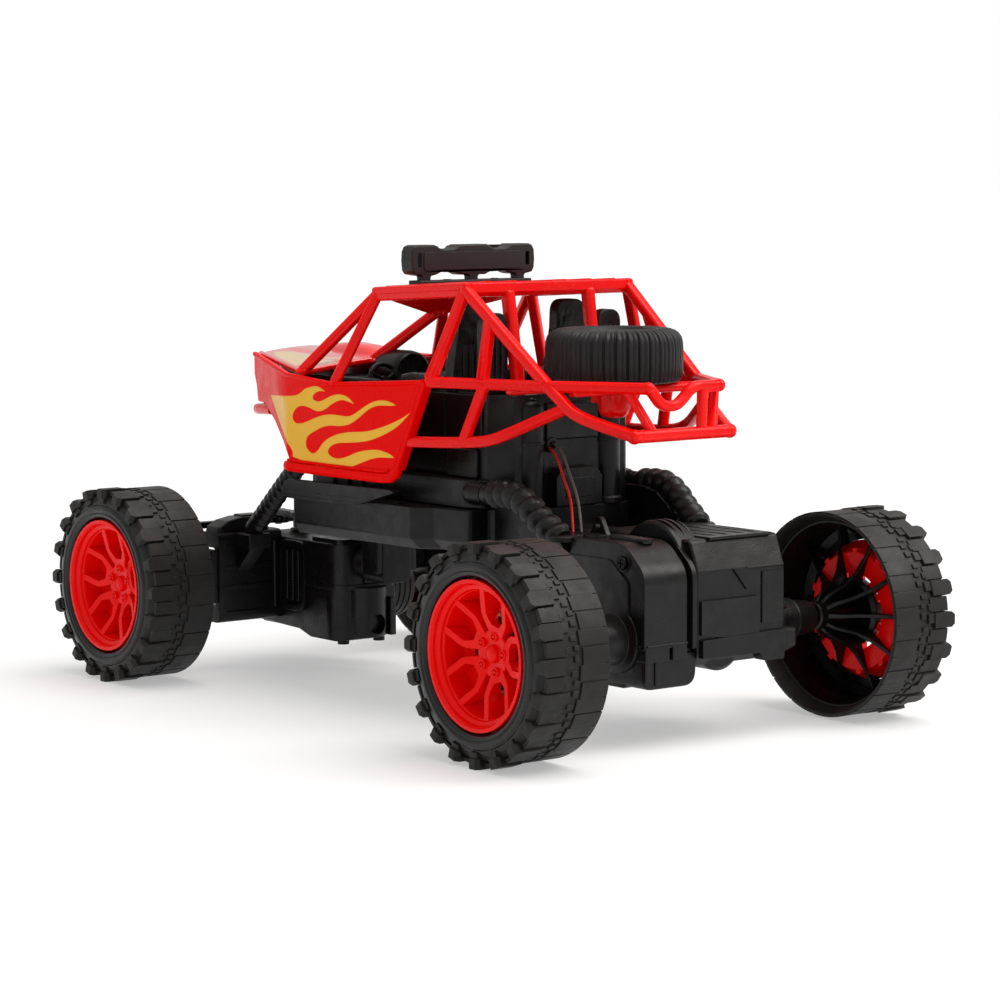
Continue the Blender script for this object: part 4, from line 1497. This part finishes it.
def seat():
    s = Shape()
    # cushion with side bolsters and stitched flutes
    s.add(prism(rounded([(-12, 101.2), (4, 101.2), (4, 104.6), (2.4, 105.6), (-10, 104.8), (-12, 104.8)], [.4, .4, 1.2, 1.2, .4, .4], 4), -6.2, 6.2, "y").bevel(0.4, 2, 40))
    for y in (-7.2, 7.2):
        s.add(sweep([(-12, y, 103.6), (-2, y, 104.2), (3.4, y, 103.8)], rect_section(3.0, 4.6, 1.3, 4), 0, scales=[1, 1, 0.8]))
    for y in (-4.4, -1.5, 1.5, 4.4):
        s.add(sweep([(-11.6, y, 104.4), (-2, y, 105.0), (3.0, y, 104.8)], ring_section(1.25, 14), 0, scales=[1, 1, 0.7]))
    # shell of the backrest with a tall headrest
    shape = rounded([(-7.8, 101.2), (7.8, 101.2), (8.0, 107.0), (6.9, 114.0), (5.9, 120.0), (5.5, 129.1), (-5.5, 129.1), (-5.9, 120.0), (-6.9, 114.0), (-8.0, 107.0)],
                    [0.6, 0.6, 3, 4, 4, 4.2, 4.2, 4, 4, 3], 6)
    s.add(prism(shape, -23.9, -19.6, "x").bevel(0.9, 3, 40))
    for k in (1, -1):
        s.add(sweep([(-20.4, k * 6.6, 102.0), (-20.0, k * 6.8, 109.6), (-20.6, k * 5.6, 113.8)], rect_section(2.0, 2.8, 0.9, 4), 0, up=(1, 0, 0), scales=[1, 1, 0.7]))
    for y in (-3.6, -1.2, 1.2, 3.6):
        s.add(sweep([(-19.7, y, 102.4), (-19.4, y, 109.0), (-19.8, y, 114.4)], ring_section(1.1, 12), 0, scales=[0.8, 1, 0.7]))
        s.add(sweep([(-23.7, y, 102.4), (-23.9, y, 112.0), (-23.7, y, 115.6)], ring_section(0.8, 12), 0, scales=[0.9, 1, 0.6]))
    s.add(prism(rounded([(-3.6, 118.6), (3.6, 118.6), (3.8, 126.6), (-3.8, 126.6)], 1.4, 4), -19.8, -18.9, "x").bevel(0.4, 2, 40))
    # second padded post behind the backrest
    post = rounded([(-1.5, 101.2), (7.5, 101.2), (7.6, 126.2), (-1.6, 126.2)], [0.5, 0.5, 4.4, 4.4], 8)
    s.add(prism(post, -39.4, -35.4, "x").bevel(0.9, 3, 40))
    for y in (0.8, 3.0, 5.2):
        s.add(sweep([(-39.2, y, 104.0), (-39.5, y, 112.0), (-39.2, y, 121.6)], ring_section(0.8, 12), 0, scales=[0.8, 1, 0.6]))
        s.add(sweep([(-35.5, y, 104.0), (-35.2, y, 112.0), (-35.5, y, 121.6)], ring_section(0.7, 12), 0, scales=[0.8, 1, 0.6]))
    # runner joining them
    s.add(prism(rounded([(-38.4, 101.2), (-12.0, 101.2), (-12.0, 104.4), (-38.4, 104.4)], 0.8, 3), -6.0, 6.0, "y").bevel(0.5, 2, 40))
    for x in (-33.0, -29.0, -25.5, -16.0):
        s.add(box(x - 0.6, x + 0.6, -6.3, 6.3, 101.4, 105.0).bevel(0.35, 2))
    return s.move(0, 19.6, 0)


SEAT_SHAPE = seat()
SEAT_SHAPE.copy().build("seat_left_look", [SEAT], "chassis", "seat_left", "seat_plastic")
SEAT_SHAPE.mirrored().build("seat_right_look", [SEAT], "chassis", "seat_right", "seat_plastic")


# --------------------------------------------------------------------- roll cage
A, B = (11.3, 31.0, 130.9), (-36.5, 32.3, 133.4)
FOOT1, FOOT2, FOOTB = (40.4, 40.4, 105.6), (19.0, 42.8, 102.6), (-32.0, 42.6, 105.2)
BELT1, BELT2, BELT3 = (-31.4, 42.8, 105.4), (-73.4, 29.5, 105.4), (-101.0, 13.9, 105.4)
DIAG2, DIAG3 = (-82.0, 27.0, 98.0), (-100.4, 18.5, 91.4)
LOW0, LOW1, LOW2 = (-21.7, 42.9, 86.5), (-60.0, 37.0, 90.0), (-80.0, 27.6, 99.2)


def curve(pts, n=6):
    """Smooth path through points."""
    p = [Vector(q) for q in pts]
    p = [2 * p[0] - p[1]] + p + [2 * p[-1] - p[-2]]
    out = []
    for i in range(1, len(p) - 2):
        for k in range(n):
            t = k / n
            a, b, c, d = p[i - 1], p[i], p[i + 1], p[i + 2]
            out.append(0.5 * ((2 * b) + (c - a) * t + (2 * a - 5 * b + 4 * c - d) * t * t + (3 * b - a - 3 * c + d) * t ** 3))
    out.append(p[-2])
    return out


def ball(p, r):
    n = 14
    return lathe([(r * math.cos(math.pi * k / n), r * math.sin(math.pi * k / n)) for k in range(n, -1, -1)], p, "x", 28)


def flat_tube(p, q, w, h, up=(0, 0, 1), r=None):
    """Flat rounded bar with soft ends."""
    p, q = Vector(p), Vector(q)
    d = (q - p).normalized()
    r = r or min(w, h) * 0.32
    path = [p - d * 0.5, p - d * 0.1, p + d * 0.6, q - d * 0.6, q + d * 0.1, q + d * 0.5]
    return sweep(path, rect_section(w, h, r, 4), 0, up, scales=[0.72, 0.93, 1, 1, 0.93, 0.72], mitre=False)


def seam(p, q, side, r=0.32, off=1.72):
    """Parting line standing proud along a moulded tube."""
    p, q = Vector(p), Vector(q)
    d = (q - p).normalized()
    s = (Vector(side) - d * Vector(side).dot(d)).normalized() * off
    return sweep([p + s + d * 1.2, q + s - d * 1.2], ring_section(r, 8))


def cage():
    s = Shape()
    s.add(flat_tube(Vector(B) + Vector((-1.2, 0, 0.05)), Vector(A) + Vector((1.2, 0, 0)), 3.0, 4.6))
    s.add(seam(B, A, (0, 1, 0.2), 0.4, 1.35))
    out = (0.1, 1, 0.4)
    for p, q in ((A, FOOT1), (A, FOOT2)):
        s.add(tube(p, q, 1.75, 18, 0, 0.5))
        s.add(seam(p, q, (-0.5, 1, 0.0), 0.35, 1.6))
    s.add(flat_tube(B, FOOTB, 4.2, 2.6, (0, 1, 0)))
    for k in (-1.1, 1.1):
        s.add(sweep([Vector(B) + Vector((k, 1.1, -2)), Vector(FOOTB) + Vector((k, 0.9, 1.5))], ring_section(0.55, 10)))
    s.add(flat_tube((-47.7, 31.5, 124.6), (-50.7, 36.7, 105.4), 4.0, 2.8, (0, 1, 0)))
    for k in (-0.9, 0.9):
        s.add(sweep([(-47.7 + k, 32.8, 123.2), (-50.7 + k, 37.9, 107.0)], ring_section(0.5, 10)))
    s.add(tube(B, BELT2, 1.8, 18, 0, 0.5))
    s.add(seam(B, BELT2, (0, 1, 0.6), 0.38, 1.6))
    low = curve([BELT2, (-78.2, 28.6, 101.6), DIAG2, (-88.0, 24.4, 95.3), DIAG3], 5)
    s.add(sweep(low, ring_section(1.8, 18, 1, 0.4)))
    s.add(sweep([p + Vector((-0.7, 1.35, 0.7)) for p in low[2:-2]], ring_section(0.38, 8)))
    s.add(tube(BELT1, BELT2, 1.75, 18, 0, 0.6))
    s.add(tube(BELT2, BELT3, 1.8, 18, 0, 0.6))
    for z in (0.75, -0.75):
        s.add(seam(Vector(BELT1) + Vector((0, 0, z)), Vector(BELT2) + Vector((0, 0, z)), (0, 1, 0), 0.45, 1.42))
        s.add(seam(Vector(BELT2) + Vector((0, 0, z)), Vector(BELT3) + Vector((0, 0, z)), (0, 1, 0), 0.45, 1.45))
    path = curve([LOW0, (-40.0, 40.2, 87.2), (-54.0, 38.0, 88.4), (-62.0, 36.2, 90.8), (-71.0, 32.0, 95.0), LOW2], 5)
    s.add(sweep(path, ring_section(1.75, 18, 1, 0.4)))
    for z in (0.7, -0.8):
        s.add(sweep([p + Vector((-0.2, 1.4, z)) for p in path[1:-3]], ring_section(0.42, 8)))
    s.add(tube((-51.8, 36.7, 105.4), (-45.5, 39.6, 88.6), 1.75, 18, 0, 0.5))
    s.add(seam((-51.8, 36.7, 105.4), (-45.5, 39.6, 88.6), (0.4, 1, 0.0), 0.4, 1.5))
    for p, r in ((BELT2, 2.0), (DIAG3, 2.2), (BELT3, 2.0), (A, 2.0), (LOW2, 1.85)):
        s.add(ball(p, r))
    # feet screwed to the panel and bonnet
    s.add(lathe([(0, 0), (0, 2.6), (0.6, 2.8), (1.4, 2.2), (1.4, 0)], (40.2, 40.2, 105.0), "z", 28))
    s.add(box(16.6, 21.4, 41.6, 43.6, 101.6, 103.2).bevel(0.4, 2))
    return s


CAGE_SHAPE = cage()
CAGE_SHAPE.copy().build("cage_left_look", [CAGE], "chassis", "cage_left", "cage_red")
CAGE_SHAPE.mirrored().build("cage_right_look", [CAGE], "chassis", "cage_right", "cage_red")


# ------------------------------------------------------------------------- roof
def roof():
    prof = [(-38.0, 135.6), (-38.2, 132.6), (-37.4, 131.2), (-35.2, 131.0), (-34.6, 133.2), (-33.4, 133.9), (9.2, 131.5), (12.2, 128.6), (13.0, 130.6), (12.8, 132.8), (11.4, 133.3)]
    s = prism(rounded(prof, 0.5, 2), -31.0, 31.0, "y").bevel(0.35, 2, 40)
    # pointed brow
    plan = [(10.6, 29.2), (13.0, 25.4), (21.4, 2.4), (21.9, 0), (21.4, -2.4), (13.0, -25.4), (10.6, -29.2)]
    v, f = [], []
    def top(x):
        return 132.6 - (x - 10.6) * 0.66
    for x, y in plan:
        v.append((x, y, top(x)))
    for x, y in plan:
        v.append((x - 0.2, y, top(x) - 2.4))
    n = len(plan)
    f = [tuple(range(n)), tuple(range(2 * n - 1, n - 1, -1))] + [(i, i + n, (i + 1) % n + n, (i + 1) % n) for i in range(n)]
    s.add(Shape().raw(v, f).fix().bevel(0.5, 2, 25))
    # ribs on the skin and under it
    for y in (-20.0, -10.0, 10.0, 20.0):
        s.add(sweep([(-32.0, y, 135.42), (8.0, y, 133.5)], rect_section(2.6, 0.7, 0.3, 3), 0))
        s.add(box(-34.0, 9.0, y - 0.5, y + 0.5, 131.8, 134.0).map(lambda x, yy, z: (x, yy, z - (x + 34) * 0.05)).bevel(0.2, 1))
    s.add(box(-12.6, -11.4, -30.0, 30.0, 131.4, 133.2).bevel(0.3, 1))
    for side in (1, -1):
        s.add(tube((20.4, side * 1.6, 123.8), (39.4, side * 12.9, 108.1), 1.75, 18, 0, 0.5))
        s.add(seam((20.4, side * 1.6, 123.8), (39.4, side * 12.9, 108.1), (0.5, side, 0.4), 0.35, 1.6))
        s.add(lathe([(0, 0), (0, 2.7), (0.7, 2.7), (1.4, 2.0), (1.4, 0)], (39.4, side * 12.9, 107.5), "z", 28))
        s.add(tube((-36.6, side * 16.0, 132.4), (-41.4, side * 15.4, 101.6), 1.95, 18, 0, 0.6))
        s.add(seam((-36.6, side * 16.0, 132.4), (-41.4, side * 15.4, 101.6), (-1, 0.5, 0), 0.4, 1.75))
        s.add(sweep([(-33.0, side * 29.6, 135.3), (8.0, side * 29.6, 133.2)], rect_section(1.6, 0.9, 0.35, 3)))
        # small gussets under the brow
        s.add(prism(rounded([(-36.8, 131.6), (-33.0, 132.6), (-38.0, 123.0), (-39.4, 123.2)], 0.4, 2), side * 16.0 - 0.8, side * 16.0 + 0.8, "y").bevel(0.25, 1, 40))
    s.add(ball((20.6, 0, 123.9), 1.9))
    return s


roof().build("roof_panel_look", [CAGE], "chassis", "roof_panel", "cage_red")


# ------------------------------------------------------------------------- rack
def rack():
    s = Shape()
    s.add(tube((-100.4, 19.6, 91.4), (-100.4, -19.6, 91.4), 1.95, 20, 0, 0.6))
    for z in (0.8, -0.8):
        s.add(sweep([(-101.9, 16.4, 91.4 + z), (-101.9, -16.4, 91.4 + z)], ring_section(0.5, 10)))
    wave = curve([(-101, 13.6, 105.6), (-101, 11.6, 103.4), (-101, 9.4, 101.0), (-101, 6.6, 100.0), (-101, 3.2, 100.2), (-101, 0.4, 102.0), (-101, -2.0, 104.2), (-101, -4.8, 105.4), (-101, -9.0, 105.5), (-101, -13.9, 105.4)], 4)
    s.add(sweep(wave, ring_section(1.62, 16, 1, 0.4)))
    s.add(sweep([p + Vector((-1.35, 0, 0.55)) for p in wave[1:-1]], ring_section(0.36, 8)))
    for y in (13.9, -13.9):
        s.add(ball((-101.0, y, 105.4), 1.95))
    # chunky block at the right upper corner, with a hooked edge
    s.add(prism(rounded([(-8.6, 103.4), (-13.6, 103.6), (-14.8, 105.4), (-13.6, 107.2), (-8.4, 107.0), (-6.6, 105.4)], 0.8, 3), -102.4, -99.4, "x").bevel(0.5, 2, 40))
    for side in (1, -1):
        s.add(tube((-95.0, side * 17.3, 105.2), (-100.6, side * 11.3, 91.6), 1.5, 16, 0, 0.4))
        s.add(seam((-95.0, side * 17.3, 105.2), (-100.6, side * 11.3, 91.6), (-1, side * 0.6, 0), 0.34, 1.36))
        s.add(ball((-100.4, side * 18.7, 91.4), 2.25))
    s.add(tube((-101.0, -7.3, 105.4), (-100.6, -7.3, 91.6), 1.5, 16, 0, 0.4))
    # floor
    for x, h in ((-60.0, 33.6), (-80.0, 25.4)):
        s.add(flat_tube((x, h, 103.6), (x, -h, 103.6), 3.4, 2.4))
        s.add(sweep([(x, h - 1, 104.8), (x, -h + 1, 104.8)], ring_section(0.5, 8)))
    s.add(flat_tube((-58.6, 0, 103.6), (-81.4, 0, 103.6), 6.0, 2.4))
    s.add(lathe([(102.4, 1.3), (102.4, 6.9), (103.0, 7.4), (104.8, 7.4), (105.4, 6.9), (105.4, 1.3)], (-68.7, 0, 0), "z", 48))
    s.add(lathe([(103.0, 1.3), (103.0, 5.4), (101.6, 5.0), (97.2, 4.9), (95.6, 4.3), (94.7, 3.2), (94.4, 1.8), (94.4, 1.3)], (-68.7, 0, 0), "z", 48))
    for k in range(4):
        s.add(box(-0.6, 0.6, 4.4, 7.0, 99.0, 102.8).bevel(0.3, 1).turn("Z", 45 + 90 * k).move(-68.7, 0, 0))
    return s


rack().build("rear_rack_look", [CAGE], "chassis", "rear_rack", "cage_red")


# ------------------------------------------------------------------- spare tyre
def spare():
    prof = [(105.5, 2.0), (105.5, 18.4), (105.7, 19.6), (106.3, 20.4), (107.4, 20.8), (109.4, 21.0), (112.0, 21.08), (116.0, 21.08), (117.9, 20.9), (119.3, 20.5),
            (120.4, 19.7), (121.2, 18.6), (121.7, 17.2), (121.95, 15.8), (121.95, 14.6), (121.5, 14.0), (121.8, 13.4), (121.6, 12.8), (120.2, 12.0), (119.2, 10.4), (118.4, 8.0), (118.2, 5.0), (118.2, 2.0)]
    # lug: how far each station of the profile takes part in the ribbing
    lug = [0, 0, 0.35, 0.7, 0.95, 1, 1, 1, 1, 1, 1, 1, 0.9, 0.7, 0, 0, 0, 0, 0, 0, 0, 0, 0]
    count, per = 72, 6
    wave = [0.0, -0.50, -0.56, -0.08, 0.04, 0.04]
    v, f = [], []
    n = len(prof)
    for k in range(count * per):
        a = 2 * math.pi * k / (count * per)
        d = wave[k % per]
        if (k // per) % 2:
            d *= 0.62
        for (z, r), w in zip(prof, lug):
            rr = r + d * w * (0.9 if z > 117 else 1.0)
            zz = z + (d * w * 0.55 if z > 119 else 0)
            v.append((-68.7 + rr * math.cos(a), rr * math.sin(a), zz))
    m = count * per
    for k in range(m):
        for i in range(n):
            f.append((k * n + i, k * n + (i + 1) % n, ((k + 1) % m) * n + (i + 1) % n, ((k + 1) % m) * n + i))
    s = Shape().raw(v, f).fix()
    # clamp washer under the screw head
    s.add(lathe([(117.9, 2.0), (117.9, 5.0), (118.4, 5.0), (118.7, 4.6), (118.7, 2.0)], (-68.7, 0, 0), "z", 36))
    for k in range(6):
        s.add(box(-0.5, 0.5, 5.6, 11.4, 117.6, 119.0).bevel(0.3, 1).turn("Z", 60 * k + 15).move(-68.7, 0, 0))
    return s


spare().build("spare_tyre_look", [SPARE], "chassis", "spare_tyre", "spare_rubber", smooth=50)


# --------------------------------------------------------------------- light bar
def light():
    # housing seen from behind: three raised pods on top, shallow dips between the feet
    half = [(24.6, 138.4), (24.9, 141.4), (24.7, 144.4), (23.9, 145.9), (22.6, 146.45), (15.6, 146.45), (13.8, 145.5), (12.6, 145.1), (8.2, 145.1), (7.0, 145.5), (5.4, 146.45)]
    low = [(4.6, 136.7), (6.6, 137.5), (13.0, 137.7), (15.0, 136.9), (16.4, 136.6), (20.6, 136.6), (22.4, 136.9), (23.8, 137.2)]
    ring = half + [(-y, z) for y, z in reversed(half)] + [(-y, z) for y, z in reversed(low)] + low
    s = prism(rounded(ring, 0.7, 3), 1.3, 7.5, "x").bevel(0.9, 4, 40, 0.5)
    for side in (1, -1):
        y0, y1 = sorted((side * 20.9, side * 22.5))
        s = s.cut(prism(rounded([(y0, 139.4), (y1, 139.4), (y1, 144.0), (y0, 144.0)], 0.7, 4), -2, 6.0, "x"))
        s = s.cut(box(4.0, 12.0, *sorted((side * 21.2, side * 24.0)), 139.6, 143.8))
    # sunken panel line along the back
    s.add(prism(rounded([(-20.2, 138.4), (20.2, 138.4), (20.2, 144.2), (-20.2, 144.2)], 1.0, 4), 0.95, 1.6, "x").bevel(0.3, 2, 40))
    # lamp rims
    for y in (-16.2, 0.0, 16.2):
        rim = prism(rounded([(y - 6.4, 137.6), (y + 6.4, 137.6), (y + 6.4, 146.1), (y - 6.4, 146.1)], 1.6, 4), 6.9, 8.8, "x")
        rim = rim.cut(prism(rounded([(y - 5.2, 138.8), (y + 5.2, 138.8), (y + 5.2, 145.2), (y - 5.2, 145.2)], 0.6, 3), 7.8, 12, "x")).bevel(0.25, 2, 40)
        s.add(rim)
    # feet and base strip
    for y in (-18.9, 0.0, 18.9):
        s.add(prism(rounded([(y - 1.9, 133.8), (y + 1.9, 133.8), (y + 1.5, 135.2), (y + 1.5, 136.2), (y + 2.6, 137.4), (y - 2.6, 137.4), (y - 1.5, 136.2), (y - 1.5, 135.2)], 0.4, 3), 1.4, 4.8, "x").bevel(0.35, 2, 40))
    s.add(box(0.1, 6.4, -22.6, 22.6, 133.0, 135.2).bevel(0.5, 3))
    for y in (-9.6, 9.6):
        s.add(lathe([(0, 0), (0, 1.5), (0.3, 1.5), (0.5, 1.2), (0.5, 0)], (3.2, y, 134.9), "z", 24))
    return s


light().build("light_bar_look", [LIGHTBAR], "chassis", "light_bar", "light_bar_plastic")


def lenses():
    s = Shape()
    for y in (-16.2, 0.0, 16.2):
        s.add(prism(rounded([(y - 5.15, 138.85), (y + 5.15, 138.85), (y + 5.15, 145.15), (y - 5.15, 145.15)], 0.6, 3), 7.82, 8.5, "x").bevel(0.2, 2, 40))
        for k in range(5):
            yy = y - 4.0 + 2.0 * k
            s.add(sweep([(8.45, yy, 139.3), (8.45, yy, 144.7)], ring_section(0.32, 8)))
    return s


lenses().build("light_lenses_look", [LENS], "chassis", "light_lenses", "lens_clear")


# ------------------------------------------------------------------ strut boots
def resample(pts, step):
    p = [Vector(q) for q in pts]
    seg = [(b - a).length for a, b in zip(p, p[1:])]
    total = sum(seg)
    n = max(4, int(total / step))
    out, i, run = [], 0, 0.0
    for k in range(n + 1):
        d = total * k / n
        while i < len(seg) - 1 and run + seg[i] < d:
            run += seg[i]
            i += 1
        out.append(p[i] + (p[i + 1] - p[i]) * ((d - run) / seg[i]))
    return out, total


def bellows(path, pitch, r_in, r_out, segs=40, lead=1.0, plain=0.0):
    """Corrugated sleeve along a path, with a plain neck at its start."""
    pts, total = resample(path, pitch / 8)
    scales = []
    n = len(pts) - 1
    for k in range(n + 1):
        d = total * k / n
        w = min(1.0, max(0.0, d - plain) / lead, (total - d) / lead)
        ph = ((d - plain) % pitch) / pitch
        lobe = abs(math.sin(math.pi * ph)) ** 0.55
        scales.append((r_in + (r_out - r_in) * lobe * max(0.0, w)) / r_out)
    return sweep(pts, ring_section(r_out, segs), 0, scales=scales, mitre=False)


def rear_boot():
    path = curve([(-44.0, 30.0, 71.1), (-45.6, 30.0, 71.1), (-51.4, 30.0, 71.7), (-57.6, 29.9, 71.5), (-61.0, 29.7, 70.3), (-64.2, 29.4, 68.5), (-67.7, 28.9, 65.6), (-72.3, 28.2, 62.6), (-76.9, 27.4, 59.7)], 8)
    return bellows(path, 4.3, 3.35, 4.5, 40, 1.2, 2.6)


def front_boot():
    path = [(57.0, 26.62, 78.75), (66.0, 26.7, 70.6), (80.0, 26.85, 58.4), (92.2, 27.0, 47.5)]
    return bellows(curve(path, 8), 3.1, 2.8, 3.35, 36, 1.2)


def m3(p):
    return tuple(c * MM for c in p)


def blend_ends(name, shape, bodies, start, end, mat, node, slot):
    shape.build(name, [mat], None, node, slot, blend=(bodies, m3(start), m3(end)))


RB = rear_boot()
blend_ends("rear_boot_left_look", RB.copy(), ("chassis", "rear_axle"), (-48.0, 30.2, 72.2), (-76.4, 27.8, 61.9), BOOT, "rear_boot_left", "boot_rubber")
blend_ends("rear_boot_right_look", RB.mirrored(), ("chassis", "rear_axle"), (-48.0, -30.2, 72.2), (-76.4, -27.8, 61.9), BOOT, "rear_boot_right", "boot_rubber")
FB = front_boot()
blend_ends("front_boot_left_look", FB.copy(), ("chassis", "front_axle"), (58.6, 26.6, 77.2), (90.8, 27.0, 48.8), BOOT, "front_boot_left", "boot_rubber")
blend_ends("front_boot_right_look", FB.mirrored(), ("chassis", "front_axle"), (58.6, -26.6, 77.2), (90.8, -27.0, 48.8), BOOT, "front_boot_right", "boot_rubber")


# ------------------------------------------------------------------------ leads
def lead(name, route, r, mat, node, slot, start, end):
    """Round lead on a smooth run through its route, bending between the chassis and the rear axle."""
    cu = bpy.data.curves.new(name, "CURVE")
    cu.dimensions = "3D"
    sp = cu.splines.new("NURBS")
    sp.points.add(len(route) - 1)
    for pt, q in zip(sp.points, route):
        pt.co = (*(c * MM for c in q), 1.0)
    sp.order_u = 3
    sp.use_endpoint_u = True
    sp.resolution_u = 14
    cu.bevel_depth = r * MM
    cu.bevel_resolution = 4
    cu.use_fill_caps = True
    tmp = bpy.data.objects.new(name + "_path", cu)
    COL.objects.link(tmp)
    bpy.context.view_layer.update()
    me = bpy.data.meshes.new_from_object(tmp.evaluated_get(bpy.context.evaluated_depsgraph_get()))
    me.name = name
    bpy.data.objects.remove(tmp)
    bpy.data.curves.remove(cu)
    me.materials.clear()
    me.materials.append(mat)
    for p in me.polygons:
        p.use_smooth = True
        p.material_index = 0
    ob = bpy.data.objects.new(name, me)
    COL.objects.link(ob)
    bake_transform(ob)
    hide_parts(node)


RED = [(-48.0, 9.4, 84.8), (-53.4, 10.4, 83.2), (-59.6, 12.8, 76.6), (-66.0, 14.9, 70.4), (-71.0, 18.4, 65.6), (-73.6, 20.2, 61.0)]
GREY = [(-48.0, 7.6, 86.0), (-53.8, 8.6, 84.6), (-60.6, 11.2, 77.8), (-67.4, 13.4, 71.0), (-72.6, 16.6, 65.8), (-75.4, 18.4, 61.0)]
lead("red_lead_look", RED, 0.45, LEAD_RED, "red_lead", "lead_red", RED[0], RED[-1])
lead("grey_lead_look", GREY, 0.45, LEAD_GREY, "grey_lead", "lead_grey", GREY[0], GREY[-1])


# ------------------------------------------------------------------------- end
bpy.context.view_layer.update()
